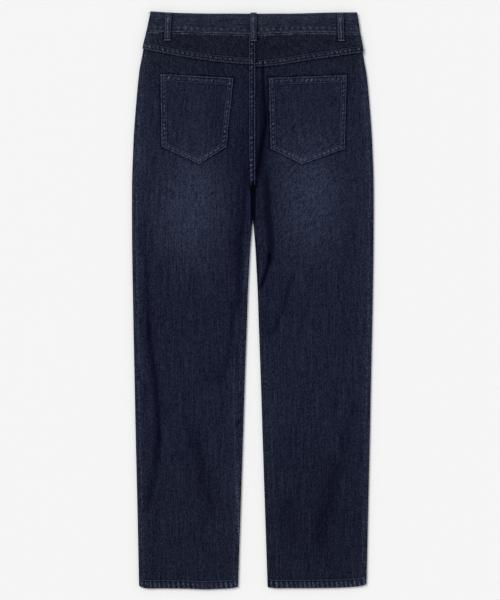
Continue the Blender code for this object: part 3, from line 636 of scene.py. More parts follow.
def inside_outline(x, y, corners):
    """Distance in from each edge of a patch pocket, smallest first, with the way along it."""
    top_left, top_right = corners["top"]
    low_left, tip, low_right = corners["bottom"]
    ends = [(top_left, low_left), (low_left, tip), (tip, low_right), (low_right, top_right)]
    nearest = np.full(np.shape(x), np.inf)
    along = np.zeros(np.shape(x))
    done = 0.0
    for a, b in ends:
        run = np.subtract(b, a).astype(float)
        length = np.hypot(*run)
        run /= length
        inward = (y - a[1]) * run[0] - (x - a[0]) * run[1]
        here = (x - a[0]) * run[0] + (y - a[1]) * run[1] + done
        along = np.where(inward < nearest, here, along)
        nearest = np.minimum(inward, nearest)
        done += length
    run = np.subtract(top_right, top_left).astype(float)
    run /= np.hypot(*run)
    from_top = (x - top_left[0]) * run[1] - (y - top_left[1]) * run[0]
    along_top = (x - top_left[0]) * run[0] + (y - top_left[1]) * run[1]
    return nearest, along, from_top, along_top


def dip_and_shadow_beside_pockets(x, y):
    """The back is pressed down just outside a pocket's sewn edge, and painted darker there as the
    pocket's shadow.
    """
    near = np.zeros(np.shape(x))
    for corners in BACK_POCKETS.values():
        nearest, _, from_top, _ = inside_outline(x, y, corners)
        outside = -np.minimum(nearest, from_top)
        near += np.where(outside > -2, bump(np.maximum(outside, 0), 0.0, 2.4), 1.0)
    return -0.18 * near, -1.25 * near


def shadow_beside_loops(x, y):
    """A painted shadow in a line down both sides of a belt loop, darker on its right, away from the
    light.
    """
    dark = np.zeros(np.shape(x))
    for x_top, x_low, top, low in BACK_LOOPS.values():
        middle = mix(x_low, x_top, (y - low) / (top - low))
        beyond = np.abs(x - middle) - LOOP_WIDTH / 2
        covered = ease(y, low - 2.5, low + 0.5)
        weight = np.where(x > middle, 1.25, 0.85)
        dark -= covered * weight * np.where(beyond > 0, bump(beyond, 0.0, 2.8), 1.0)
    return dark


def painted_shade_and_wear_lines(x, y):
    """Lines of the back painted darker or paler: painted shade in folds and troughs, painted shadow
    between the legs, and pale wear.
    """
    shade = np.zeros(np.shape(x))
    for amount, reach, line in PAINTED_SHADE_AND_WEAR:
        nearest, along = along_line(x, y, line)
        fades = ease(along, 0.0, 0.15) * ease(along, 1.0, 0.85)
        shade += amount * fades * np.exp(-((nearest / reach) ** 2))
    return shade


def where_it_leans(x, y):
    """Which way the twill shows: 1 where it rises to the right, -1 where it falls, 0 upright."""
    falls = ease(y, 395.0, 430.0) + ease(y, 380.0, 410.0) * ease(x, -60.0, -110.0)
    rises = np.exp(-(((x - 96) / 88) ** 4) - ((y - 232) / 150) ** 4)
    rises += 0.6 * np.exp(-(((x + 108) / 78) ** 4) - ((y - 250) / 140) ** 4)
    return np.clip(rises, 0, 1) * (1 - np.clip(falls, 0, 1)) - np.clip(falls, 0, 1)


def slack(x, y):
    """Broad, slight waves of cloth that lies free."""
    return (
        0.16 * np.sin(x / 27.0 + 1.9 * np.sin(y / 83.0 + 0.6))
        + 0.13 * np.sin(y / 34.0 + 1.4 * np.sin(x / 59.0 + 2.1))
        + 0.08 * np.sin((x + 0.7 * y) / 17.0 + 2.2 * np.sin(y / 61.0))
    )


def only(share, wear):
    """A height and a share of rubbing and painted shade, faded out where share is less than 1."""
    height, rubbed = wear
    return height * share, rubbed * share


def hems_wear_and_shade(x, y, cloth):
    """The wear and painted shade of both hems, each on its own side of the garment."""
    return [only((x * one > 0).astype(float), hem_wear_and_shade(x, y, one, cloth)) for one in (-1, 1)]


def back_detail(x, y, cloth):
    """What sewing, washing and painted shade add to the back at a point: a height, and a share of
    rubbing and painted shade.
    """
    yoke = np.where(x < LAP_WIDTH / 2, yoke_edge(-1, x), yoke_edge(1, x))
    at_rise = ease(y, CROTCH - 6, CROTCH + 12)
    legs = ease(y, CROTCH - 50, CROTCH - 150) * np.where(x < 0, 0.75, 0.4)
    parts = [
        two_row_seam(y - yoke, x, FELLED_ROWS, 0.4, cloth),
        only(at_rise, two_row_seam(LAP_WIDTH / 2 - 0.8 - x, y, CENTRE_ROWS, 2.1, cloth)),
        *hems_wear_and_shade(x, y, cloth),
        side_wear(from_side_seam(x, y), y, 0.7, cloth),
        only(legs, side_wear(from_inseam(x, y), y, 3.3, cloth)),
        dip_and_shadow_beside_pockets(x, y),
        # painted shadow beside the belt loops, and the lines of painted shade and of wear
        (0.0, 0.8 * shadow_beside_loops(x, y) + painted_shade_and_wear_lines(x, y)),
    ]
    height = sum(h for h, _ in parts) + cloth.crease * creased(x, y, BACK_CREASES)
    at_edge = ease(from_side_seam(x, y), 2.0, 16.0)
    height += slack(x, y) * at_edge * (1 - near_hem(y))
    return height, sum(r for _, r in parts)


def front_detail(x, y, cloth):
    """The same of the front, where a height is outwards, away from the wearer."""
    legs = ease(y, CROTCH - 6, CROTCH - 40)
    at_mouth = ease(np.abs(x), 96.0, 108.0)
    at_rise = ease(y, CROTCH - 6, CROTCH + 12)
    crotch = bump(x, 0.8, 3.4) * ease(y, 122.0, 140.0) * ease(y, 232.0, 222.0)
    parts = [
        side_wear(from_side_seam(x, y), y, 4.1, cloth),
        *hems_wear_and_shade(x, y, cloth),
        only(legs, side_wear(from_inseam(x, y), y, 5.2, cloth)),
        only(at_mouth, two_row_seam(mouth_edge(x) - y, x, MOUTH_ROWS, 1.1, cloth)),
        only(at_rise, two_row_seam(LAP_WIDTH / 2 - x, y, (1.6, 7.5), 0.2, cloth)),
        # painted shadow: the front's cloth seen through the gap between the legs, darkened almost
        # to black
        (0.0, -1.8 * crotch),
    ]
    height = sum(h for h, _ in parts) + cloth.crease * creased(x, y, FRONT_CREASES)
    pressed = (height - np.sqrt(height**2 + 0.01)) / 2
    return 0.9 * pressed, sum(r for _, r in parts)


def base_shade():
    """The share of the washed shade that all of the cloth has."""
    return bpy.context.scene.jeans_denim.shade


def washed_share(x, y):
    """Share of the washed shade at a point of the garment."""
    share = np.full(np.shape(x), base_shade())
    for amount, across, up, reach_across, reach_up in WASH:
        away = ((x - across) / reach_across) ** 2 + ((y - up) / reach_up) ** 2
        share += amount * np.exp(-(away**1.15))
    return share


def back_wash(x, y):
    """The wash of the back: darker in its folds and creases, as dye left there and as painted
    shade, and paler on its ridges.
    """
    share = washed_share(x, y)
    share -= 0.014 * creased(x, y, FOLDS)
    share += 0.012 * creased(x, y, BACK_CREASES)
    return np.maximum(share, 0.0)


def front_wash(x, y):
    share = np.full(np.shape(x), base_shade())
    for side in (-1, 1):
        away = ((x - 112 * side) / 62) ** 2 + ((y - 120) / 190) ** 2
        share += 0.09 * np.exp(-(away**1.2))
    # darker in the front's creases, as dye left there and as painted shade
    return np.maximum(share + 0.03 * creased(x, y, FRONT_CREASES), 0.0)


# ---------------------------------------------------------------------------
# Panels
# ---------------------------------------------------------------------------
# A panel's columns: round each rolled edge, then steps in from it, then even ones between
ROLL_TURNS = np.radians(np.linspace(0, 90, 7))
ROLL_COLUMNS = len(ROLL_TURNS) + 1
OUTER_STEPS = (1.0, 2.0, 3.0, 4.5, 6.0, 8.0, 10.0, 13.0, 16.5)
INNER_STEPS = (17.4, 14.9, 13.4, 11.9, 10.4, 8.9, 7.9, 6.9, 5.4, 3.9, 2.4, 1.2)


def rolled(rolls, drop):
    """Distances in from an edge and drops of the columns that turn over it.

    Where rolls is 0 the edge lies flat. Where it is 1 it turns over a quarter round.
    """
    radius = drop - EDGE_DROP
    turned = [(radius * (1 - np.sin(a)), radius * (1 - np.cos(a))) for a in ROLL_TURNS]
    turned.append((0 * radius, drop))
    level = np.linspace(1, 0, ROLL_COLUMNS)
    return [(mix(f * drop, d, rolls), fall * rolls) for f, (d, fall) in zip(level, turned)]




class Panel:
    """One panel of a leg or of the yoke, laid over the garment's form."""

    def __init__(self, side, face, edges, lap, tuck=None):
        self.side = side
        self.face = face
        self.edges = edges
        self.lap = lap
        self.tuck = tuck
        self.outward, self.surface, self.detail = {
            "back": (1, back_height, back_detail),
            "front": (-1, front_height, front_detail),
        }[face]

    def level(self, x, y, cloth):
        """Height over the surface of the outer face, away from the rolled edges."""
        lap, height = self.lap(x, y), self.detail(x, y, cloth)[0]
        return self.surface(x, y) + self.outward * lap + self.outward * height

    def row(self, x, y, cloth):
        """A row of stitches on the panel."""
        return row_on(lambda a, b: self.level(a, b, cloth), x, y, outward=self.outward)

    def grid(self, heights, spacing, cloth):
        """Points, from the top row down and the outer edge in, and the share of rubbing and painted
        shade at each.
        """
        side, inward = self.side, -self.side
        middle = steps(0, 1, spacing / 180.0)[1:]
        columns = 2 * ROLL_COLUMNS + len(OUTER_STEPS) + len(INNER_STEPS) + len(middle)
        nominal = np.repeat(np.array(heights, float)[:, None], columns, axis=1)
        x, y = np.zeros_like(nominal), nominal.copy()
        for _ in range(4):
            outer = side * half_width(side, y)
            inner = inner_edge(side, y, self.face)
            rolls = ease(y, CROTCH - 1, CROTCH - 16)
            if self.tuck:
                outer = outer - side * self.tuck(outer, y)
            parting = SEAM_GAP / 2 + CROTCH_GAP * ease(y, CROTCH - 46, CROTCH - 16)
            outer_drop = np.abs(self.surface(outer, y) - seam_level(outer, y)) - SEAM_GAP / 2
            inner_drop = np.abs(self.surface(inner, y) - seam_level(inner, y)) - parting
            across_outer = rolled(1.0, outer_drop)
            across_inner = rolled(rolls, inner_drop)
            drops = np.zeros_like(nominal)
            flat = np.ones_like(nominal)
            for k in range(ROLL_COLUMNS):
                distance, drop = across_outer[ROLL_COLUMNS - 1 - k]
                x[:, k] = (outer + inward * distance)[:, k]
                drops[:, k] = drop[:, k]
                flat[:, k] = k / (ROLL_COLUMNS - 1)
                distance, drop = across_inner[k]
                last = columns - ROLL_COLUMNS + k
                x[:, last] = (inner - inward * distance)[:, last]
                drops[:, last] = drop[:, last]
                flat[:, last] = mix(1.0, 1 - k / (ROLL_COLUMNS - 1), rolls[:, last])
            first, last = x[:, ROLL_COLUMNS - 1], x[:, columns - ROLL_COLUMNS]
            start, end = first + inward * OUTER_STEPS[-1], last - inward * INNER_STEPS[0]
            between = [first + inward * step for step in OUTER_STEPS]
            between += [mix(start, end, share) for share in middle]
            between += [last - inward * step for step in INNER_STEPS]
            x[:, ROLL_COLUMNS:-ROLL_COLUMNS] = np.stack(between, axis=1)
            y = self.edges(x, nominal)
        height, rubbed = self.detail(x, y, cloth)
        z = self.surface(x, y) + self.outward * (self.lap(x, y) - drops + height * flat)
        return np.stack([x, y, z], axis=-1), rubbed * (0.5 + 0.5 * flat)


def over_rise(side, x, y):
    """1 where a raised panel lies over its neighbour at the rise, and 0 off it."""
    inside = np.abs(inner_edge(side, y) - x)
    level = LAP_WIDTH + LAP_MARGIN
    return ease(inside, level + LAP_RAMP, level) * ease(y, CROTCH - 18, CROTCH - 1)


def towards_hem(side, x, nominal):
    return (hem_edge(side, x) - HEM) * ease(nominal, HEM + 120, HEM + HEM_DEPTH + 2)


def towards_waist(move, nominal, line):
    return move * np.clip((nominal - LEVEL_ROWS) / (line - LEVEL_ROWS), 0, 1)


def lap_lift(cloth):
    return cloth.wall / MM + 0.5


def back_panel(side, cloth):
    lift = lap_lift(cloth)

    def edges(x, nominal):
        move = yoke_edge(side, x) + LAP_WIDTH - YOKE_LINE
        return nominal + towards_waist(move, nominal, BACK_LAP_FOOT) + towards_hem(side, x, nominal)

    def lap(x, y):
        if side > 0:
            return 0 * x
        crossing = 1 + ease(y, BACK_LAP_FOOT, BACK_LAP_FULL - 0.5)
        return lift * over_rise(side, x, y) * crossing

    def tuck(x, y):
        edge = yoke_edge(side, x)
        return lift * ease(y, edge - TUCK_LENGTH, edge - 5.0)

    return Panel(side, "back", edges, lap, tuck)


def yoke_panel(side, cloth):
    lift = lap_lift(cloth)

    def edges(x, nominal):
        """Rows run from the waistband's seam, where nominal is 1, to the yoke's edge, at 0."""
        bottom = yoke_edge(side, x)
        return mix(bottom, curve(WAIST_SEAM, x) - BAND_GAP, nominal)

    def lap(x, y):
        edge = yoke_edge(side, x)
        over_back = ease(y, edge + LAP_WIDTH + 1 + LAP_RAMP, edge + LAP_WIDTH + 1)
        if side > 0:
            return lift * over_back
        return lift * (over_back + over_rise(side, x, y) * (1 + over_back))

    return Panel(side, "back", edges, lap)


def front_panel(side, cloth):
    def edges(x, nominal):
        top = towards_waist(mouth_edge(x) - FRONT_LINE, nominal, FRONT_LINE)
        return nominal + top + towards_hem(side, x, nominal)

    def lap(x, y):
        return -lap_lift(cloth) * over_rise(side, x, y) if side > 0 else 0 * x

    return Panel(side, "front", edges, lap)


# ---------------------------------------------------------------------------
# Meshes
# ---------------------------------------------------------------------------
def on_cloth(points):
    """Where each point of a grid is on the cloth as it was cut: across and up, in metres."""
    gaps = np.linalg.norm(np.diff(points, axis=1), axis=2)
    way = np.concatenate([np.zeros((len(points), 1)), np.cumsum(gaps, axis=1)], axis=1)
    middle = points.shape[1] // 2
    sign = np.sign(points[0, -1, 0] - points[0, 0, 0])
    across = points[:, middle, 0][:, None] + sign * (way - way[:, middle][:, None])
    return np.stack([across, points[..., 1]], axis=-1) * MM


def add_object(name, data):
    """A new object in the scene."""
    made = bpy.data.objects.new(name, data)
    bpy.context.scene.collection.objects.link(made)
    return made


def grid_mesh(node, points, cloth_places, turn=False, without=(), **marks):
    """A mesh over a grid of points in millimetres, with its place on the cloth as a UV map."""
    points = np.asarray(points, float)
    index = np.arange(points.shape[0] * points.shape[1]).reshape(points.shape[:2])
    cells = [index[:-1, :-1], index[:-1, 1:], index[1:, 1:], index[1:, :-1]]
    quads = np.delete(np.stack(cells, axis=-1), list(without), axis=1).reshape(-1, 4)
    if turn:
        quads = quads[:, ::-1]
    mesh = bpy.data.meshes.new(node + "_cloth")
    mesh.from_pydata((points.reshape(-1, 3) * MM).tolist(), [], quads.tolist())
    places = mesh.uv_layers.new(name="cloth")
    corners = cloth_places.reshape(-1, 2)[quads.ravel()]
    places.uv.foreach_set("vector", corners.ravel().astype(np.float32))
    marks.setdefault("lean", where_it_leans(points[..., 0], points[..., 1]))
    for mark, values in marks.items():
        attribute = mesh.attributes.new(mark, "FLOAT", "POINT")
        attribute.data.foreach_set("value", np.ravel(values).astype(np.float32))
    mesh.shade_smooth()
    return mesh


SHARP = 55  # degrees: corners sharper than this are rounded


def shell(mesh, wall, finish, inside=None, walls=None, edge=0.00035):
    """A piece of cloth: the mesh given its wall on the inner side, and rounded edges."""
    piece = add_object(mesh.name, mesh)
    mesh.materials.append(finish)
    mesh.materials.append(inside or finish)
    solid = piece.modifiers.new("wall", "SOLIDIFY")
    solid.thickness = wall
    solid.offset = -1.0
    solid.use_even_offset = True
    solid.material_offset = 1
    if walls is not None:
        thickest = float(np.max(walls))
        solid.thickness = thickest * MM
        group = piece.vertex_groups.new(name="wall")
        solid.vertex_group = group.name
        shares = np.ravel(walls) / thickest
        for share in np.unique(shares):
            group.add(np.flatnonzero(shares == share).tolist(), float(share), "REPLACE")
    rounded = piece.modifiers.new("edges", "BEVEL")
    rounded.width = edge
    rounded.segments = 2
    rounded.limit_method = "ANGLE"
    rounded.angle_limit = np.radians(SHARP)
    return piece


def stands_for(piece, node):
    """Sets a piece in the place of a solid's node."""
    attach(piece, "root")
    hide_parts(node)


def denim_piece(node, mesh, cloth, walls=None, edge=1.0):
    """A piece of one layer of denim, whose edges are rounded by a share of the usual."""
    faces = denim(), denim("denim_inside")
    stands_for(shell(mesh, cloth.wall, *faces, walls=walls, edge=edge * cloth.edge), node)


# ---------------------------------------------------------------------------
# Finishes
# ---------------------------------------------------------------------------
class Socket:
    """An output of a shader node, so that maths on it reads as an expression."""

    def __init__(self, finish, output):
        self.finish = finish
        self.output = output

    def maths(self, operation, *values, **settings):
        return self.finish.node("ShaderNodeMath", {"operation": operation, **settings}, *values)

    def __add__(self, other):
        return self.maths("ADD", self, other)

    def __sub__(self, other):
        return self.maths("SUBTRACT", self, other)

    def __rsub__(self, other):
        return self.maths("SUBTRACT", other, self)

    def __mul__(self, other):
        return self.maths("MULTIPLY", self, other)

    def __neg__(self):
        return self * -1.0

    __radd__ = __add__
    __rmul__ = __mul__

    def sine(self):
        return self.maths("SINE", self)

    def above(self, least=0.0):
        return self.maths("MAXIMUM", self, least)

    def below(self, most=1.0):
        return self.maths("MINIMUM", self, most)


class Finish:
    """A material and the nodes that make it."""

    def __init__(self, name):
        self.material = bpy.data.materials.new(name)
        self.material.use_nodes = True
        self.tree = self.material.node_tree
        self.shader = self.tree.nodes["Principled BSDF"]

    def node(self, kind, settings=None, *values, output=0, **named):
        """Adds a node: its settings first, then values or links by position or by name."""
        made = self.tree.nodes.new(kind)
        for key, value in (settings or {}).items():
            setattr(made, key, value)
        for key, value in [*enumerate(values), *named.items()]:
            if value is not None:
                self.join(made.inputs[key], value)
        return Socket(self, made.outputs[output])

    def join(self, entry, value):
        if isinstance(value, Socket):
            self.tree.links.new(value.output, entry)
        else:
            entry.default_value = value

    def blend(self, share, a, b):
        """A colour between two."""
        made = self.tree.nodes.new("ShaderNodeMix")
        made.data_type = "RGBA"
        for key, value in ((0, share), (6, a), (7, b)):
            self.join(made.inputs[key], (*value, 1.0) if isinstance(value, tuple) else value)
        return Socket(self, made.outputs[2])

    def noise(self, where, scale, detail=2.0, roughness=0.5):
        """Uneven values about 0, over scaled places."""
        placed = self.node("ShaderNodeVectorMath", {"operation": "MULTIPLY"}, where, scale)
        made = self.node(
            "ShaderNodeTexNoise", None, Vector=placed, Scale=1.0, Detail=detail, Roughness=roughness
        )
        return (made - 0.5) * 4.0

    def cells(self, where, scale):
        """One value for each of many small cells, about 0."""
        placed = self.node("ShaderNodeVectorMath", {"operation": "MULTIPLY"}, where, scale)
        made = self.node(
            "ShaderNodeTexVoronoi", {"voronoi_dimensions": "2D"}, output=1, Vector=placed, Scale=1.0
        )
        return (made - 0.5) * 3.0

    def slanted(self, where, degrees):
        """Short streaks that lean away from upright."""
        turned = self.node(
            "ShaderNodeVectorRotate", {"rotation_type": "Z_AXIS"}, where, Angle=np.radians(degrees)
        )
        return self.noise(turned, (640.0, 70.0, 1.0), 1.0)

    def on_cloth(self):
        return self.node("ShaderNodeUVMap", {"uv_map": "cloth"})

    def in_object(self):
        return self.node("ShaderNodeTexCoord", output="Object")

    def parts_of(self, where):
        """The parts of a place along its first two axes."""
        return [self.node("ShaderNodeSeparateXYZ", None, where, output=k) for k in (0, 1)]

    def mark(self, name):
        """A value that the mesh carries at its points."""
        return self.node("ShaderNodeAttribute", {"attribute_name": name}, output="Fac")

    def set(self, **values):
        for key, value in values.items():
            self.join(self.shader.inputs[key.replace("_", " ")], value)

    def bumped(self, height, distance, strength=1.0):
        self.set(
            Normal=self.node(
                "ShaderNodeBump", None, Height=height, Distance=distance, Strength=strength
            )
        )


def colour(value):
    return tuple(float(v) for v in value)


def denim_finish(name, denim, extra=0.0, marked=True):
    """Indigo denim: dark warp yarns over pale ones, uneven, washed and worn, and darkened by
    painted shade where a mesh marks it.
    """
    finish = Finish(name)
    place = finish.on_cloth()
    across, up = finish.parts_of(place)

    yarns = finish.noise(place, (560.0, 60.0, 1.0), 2.0)
    long_yarns = finish.noise(place, (400.0, 13.0, 1.0), 1.0)
    specks = finish.cells(place, (1050.0, 780.0, 1.0))
    beads = finish.noise(place, (390.0, 390.0, 1.0), 0.0)
    where = finish.in_object()
    clouds = finish.noise(where, (26.0, 26.0, 26.0), 3.0)
    patches = finish.noise(where, (150.0, 36.0, 95.0), 2.0)
    ribs = ((across * 0.88 + up * 0.47) * (2 * np.pi / denim.twill)).sine()

    cloudy = 0.06 * clouds + 0.04 * patches
    if marked:
        # the mesh's marks: the wash, a share of rubbing that below nothing is painted shade, and
        # the twill's lean
        wash, rubbed, lean = finish.mark("wash"), finish.mark("rubbed"), finish.mark("lean")
        rises = finish.slanted(place, 24.0) * lean.above()
        falls = finish.slanted(place, -24.0) * (-lean).above()
        straight = 1.0 - 0.75 * (lean.above() + (-lean).above())
        mottle = (0.46 * yarns + 0.46 * long_yarns) * straight + 0.80 * (rises + falls)
        worn = (rubbed * (1.0 + 0.2 * specks + 1.1 * beads)).above() * denim.rub
        # the darker side of the mark: painted shade, with some dye left beside the seams
        kept = (-rubbed).above() * denim.kept
        # painted shadow: where the darkening is strongest, in the darkest folds, between the legs
        # and beside raised edges, the colour goes towards near black
        painted_deep_shadow = ((-rubbed - 0.7) * 1.1).above().below(0.8)
        share = wash * (1.0 + cloudy) + worn - kept + extra
    else:
        mottle = 0.46 * yarns + 0.42 * long_yarns
        painted_deep_shadow = 0.0
        share = (1.0 + cloudy) * (denim.shade + extra)
    mottle = mottle * (1.0 + 0.5 * ribs) + 0.88 * specks * (1.0 + 0.8 * ribs)
    share = share + (0.045 + 0.8 * share.above()) * mottle * denim.mottle + 0.014 * ribs
    dyed = finish.blend(share.above().below(), colour(denim.indigo), colour(denim.washed))
    height = finish.parts_of(where)[1]
    greyed = ((height - 0.40) * 18.0).above().below() + ((-height - 0.22) * 2.6).above().below(0.7)
    dyed = finish.node(
        "ShaderNodeVectorMath",
        {"operation": "MULTIPLY"},
        dyed,
        finish.blend(greyed, (1.0, 1.0, 1.0), (1.02, 0.98, 0.85)),
    )
    finish.set(
        Base_Color=finish.blend(painted_deep_shadow, dyed, (0.0003, 0.0004, 0.0012)),
        Roughness=(0.88 + 0.05 * specks).below(),
        Specular_IOR_Level=0.03,
    )
    weave = 0.45 * ribs + 0.35 * specks + 0.3 * yarns
    finish.bumped(weave, denim.relief, 0.8)
    return finish.material


def thread_finish(name, thread):
    finish = Finish(name)
    where = finish.in_object()
    fuzz = finish.noise(where, (900.0, 900.0, 900.0), 2.0)
    shades = finish.noise(where, (160.0, 160.0, 160.0), 1.0)
    pale = colour(thread.colour)
    dark = tuple(0.5 * v for v in pale)
    finish.set(
        Base_Color=finish.blend((0.55 + 0.4 * shades + 0.2 * fuzz).above().below(), dark, pale),
        Roughness=(0.7 + 0.08 * fuzz).below(),
        Specular_IOR_Level=0.2,
    )
    finish.bumped(fuzz, 0.00012, 0.6)
    return finish.material


def metal_finish(name, metal):
    finish = Finish(name)
    where = finish.in_object()
    dull = finish.noise(where, (260.0, 260.0, 260.0), 3.0)
    grain = finish.noise(where, (1500.0, 1500.0, 1500.0), 2.0)
    finish.set(
        Base_Color=finish.blend(
            (0.5 + 0.5 * dull).above().below(), colour(metal.colour), colour(metal.tarnish)
        ),
        Metallic=1.0,
        Roughness=(0.42 + 0.12 * dull + 0.04 * grain).above(0.2).below(),
    )
    finish.bumped(grain, 0.00004, 0.5)
    return finish.material


def tape_finish(name, metal):
    """Woven tape, ribbed along its length."""
    finish = Finish(name)
    place = finish.on_cloth()
    threads = finish.noise(place, (2200.0, 500.0, 1.0), 2.0)
    across, up = finish.parts_of(place)
    ribs = (across * 5200.0).sine() * 0.6 + ((up + across) * 7800.0).sine() * 0.4
    shade = colour(metal.tape)
    finish.set(
        Base_Color=finish.blend(
            (0.5 + 0.35 * ribs + 0.3 * threads).above().below(),
            tuple(0.6 * v for v in shade),
            tuple(1.5 * v for v in shade),
        ),
        Roughness=(0.85 + 0.08 * threads).below(),
        Specular_IOR_Level=0.15,
    )
    finish.bumped(ribs + 0.4 * threads, 0.00012, 0.8)
    return finish.material


def floor_finish(name, stage):
    finish = Finish(name)
    where = finish.in_object()
    grain = finish.noise(where, (40.0, 40.0, 40.0), 2.0)
    tint = colour(stage.floor)
    finish.set(
        Base_Color=finish.blend(
            (0.5 + 0.2 * grain).above().below(), tint, tuple(0.995 * v for v in tint)
        ),
        Roughness=(0.75 + 0.02 * grain).below(),
        Specular_IOR_Level=0.1,
    )
    return finish.material


def finish_of(name, make, *values, **settings):
    """A finish is made once and then shared."""
    return bpy.data.materials.get(name) or make(name, *values, **settings)


def denim(kind="denim"):
    """The denim of a kind of place: outside, inside, or on the waistband and its loops."""
    shades = bpy.context.scene.jeans_denim
    if kind == "denim_inside":
        return finish_of("jeans_" + kind, denim_finish, shades, extra=0.30, marked=False)
    if kind == "denim_band":
        return finish_of("jeans_" + kind, denim_finish, shades, extra=0.02)
    return finish_of("jeans_" + kind, denim_finish, shades)


# ---------------------------------------------------------------------------
# Stitches, by Geometry Nodes
# ---------------------------------------------------------------------------
def stitch_nodes():
    """A tree that lays a row of stitches along each line of a mesh."""
    tree = bpy.data.node_groups.get("rows_of_stitches")
    if tree:
        return tree
    tree = bpy.data.node_groups.new("rows_of_stitches", "GeometryNodeTree")
    face = tree.interface
    face.new_socket("Lines", in_out="INPUT", socket_type="NodeSocketGeometry")
    for name in ("Pitch", "Length", "Width", "Height", "Turn", "Wander"):
        face.new_socket(name, in_out="INPUT", socket_type="NodeSocketFloat")
    face.new_socket("Seed", in_out="INPUT", socket_type="NodeSocketInt")
    face.new_socket("Thread", in_out="INPUT", socket_type="NodeSocketMaterial")
    face.new_socket("Stitches", in_out="OUTPUT", socket_type="NodeSocketGeometry")

    def node(kind, settings=None, by_place=(), **by_name):
        """Adds a node: its settings, then values, nodes or sockets by place or by name."""
        made = tree.nodes.new(kind)
        for key, value in (settings or {}).items():
            setattr(made, key, value)
        for key, value in (*by_place, *by_name.items()):
            entry = made.inputs[key]
            if isinstance(value, bpy.types.Node):
                value = value.outputs[0]
            if isinstance(value, bpy.types.NodeSocket):
                tree.links.new(value, entry)
            else:
                entry.default_value = value
        return made

    given = tree.nodes.new("NodeGroupInput").outputs
    lines = node("GeometryNodeMeshToCurve", Mesh=given["Lines"])
    by_length = {"mode": "LENGTH"}
    points = node("GeometryNodeResampleCurve", by_length, Curve=lines, Length=given["Pitch"])
    ball = node("GeometryNodeMeshUVSphere", Segments=6, Rings=5, Radius=0.5)
    size = node("ShaderNodeCombineXYZ", X=given["Length"], Y=given["Width"], Z=given["Height"])
    stitch = node("GeometryNodeTransform", Geometry=ball, Scale=size)
    smooth = node("GeometryNodeSetShadeSmooth", Geometry=stitch)
    tangent = node("GeometryNodeInputTangent")
    align = "FunctionNodeAlignRotationToVector"
    along = node(align, {"axis": "X"}, Vector=tangent)
    about_x = {"axis": "Z", "pivot_axis": "X"}
    upright = node(align, about_x, Rotation=along, Vector=(0.0, 0.0, 1.0))
    less = node("ShaderNodeMath", {"operation": "MULTIPLY"}, [(0, given["Wander"]), (1, -1.0)])
    stray = node(
        "FunctionNodeRandomValue",
        {"data_type": "FLOAT"},
        [(2, less), (3, given["Wander"])],
        Seed=given["Seed"],
    )
    turn = [(0, given["Turn"]), (1, stray.outputs[1])]
    turned = node("ShaderNodeMath", {"operation": "ADD"}, turn)
    swing = node("ShaderNodeCombineXYZ", Z=turned)
    swung = node("FunctionNodeEulerToRotation", Euler=swing)
    local = {"rotation_space": "LOCAL"}
    facing = node("FunctionNodeRotateRotation", local, [(0, upright), (1, swung)])
    sizes = node(
        "FunctionNodeRandomValue",
        {"data_type": "FLOAT_VECTOR"},
        [(0, (0.9, 0.85, 0.85)), (1, (1.06, 1.12, 1.12))],
        Seed=given["Seed"],
    )
    laid = node(
        "GeometryNodeInstanceOnPoints",
        Points=points,
        Instance=smooth,
        Rotation=facing,
        Scale=sizes,
    )
    real = node("GeometryNodeRealizeInstances", Geometry=laid)
    finished = node("GeometryNodeSetMaterial", Geometry=real, Material=given["Thread"])
    node("NodeGroupOutput", Stitches=finished)
    return tree


def line_mesh(name, lines):
    """A mesh of open lines through points in millimetres."""
    points, edges = [], []
    for line in lines:
        first = len(points)
        points.extend((np.asarray(line, float) * MM).tolist())
        edges.extend((first + k, first + k + 1) for k in range(len(line) - 1))
    mesh = bpy.data.meshes.new(name)
    mesh.from_pydata(points, edges, [])
    return mesh


def stitches(name, lines, seed, turn=0.0, pitch=None, length=None, width=None):
    """Rows of stitches along lines that lie on the cloth, as one plain mesh."""
    thread = bpy.context.scene.jeans_thread
    width = width or thread.width
    values = {
        "Pitch": pitch or thread.pitch,
        "Length": length or thread.length,
        "Width": width,
        "Height": 0.8 * width,
        "Turn": turn,
        "Wander": 0.07,
        "Seed": seed,
        "Thread": finish_of("jeans_thread", thread_finish, thread),
    }
    piece = add_object(name, line_mesh(name, lines))
    rows = piece.modifiers.new("stitches", "NODES")
    tree = stitch_nodes()
    rows.node_group = tree
    for item in tree.interface.items_tree:
        if item.in_out == "INPUT" and item.name in values:
            rows[item.identifier] = values[item.name]
    bpy.context.view_layer.update()
    seen = piece.evaluated_get(bpy.context.evaluated_depsgraph_get())
    mesh = bpy.data.meshes.new_from_object(seen)
    piece.modifiers.clear()
    piece.data = mesh
    mesh.name = name
    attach(piece, "root")


def row_on(level, x, y, sunk=0.05, outward=1):
    """A row of stitches through places of a piece, just sunk into its surface."""
    x, y = np.broadcast_arrays(np.asarray(x, float), np.asarray(y, float))
    return np.stack([x, y, level(x, y) - outward * sunk + outward * 0.25], axis=-1)


# ---------------------------------------------------------------------------
# Pieces
# ---------------------------------------------------------------------------
def back_heights(spacing):
    """Nominal height of each row of a back panel."""
    return [
        *steps(YOKE_LINE, BACK_LAP_FOOT, 1.6),
        *steps(BACK_LAP_FOOT, CROTCH + 14, spacing),
        *steps(CROTCH + 14, CROTCH - 20, 1.7),
        *steps(CROTCH - 20, HEM + 50, spacing),
        *steps(HEM + 50, HEM, 1.4),
        HEM,
    ]


def front_heights(spacing):
    return [
        *steps(FRONT_LINE, FRONT_LINE - 24, 1.8),
        *steps(FRONT_LINE - 24, CROTCH + 14, spacing),
        *steps(CROTCH + 14, CROTCH - 20, 2.2),
        *steps(CROTCH - 20, HEM + 40, spacing),
        *steps(HEM + 40, HEM, 2.0),
        HEM,
    ]


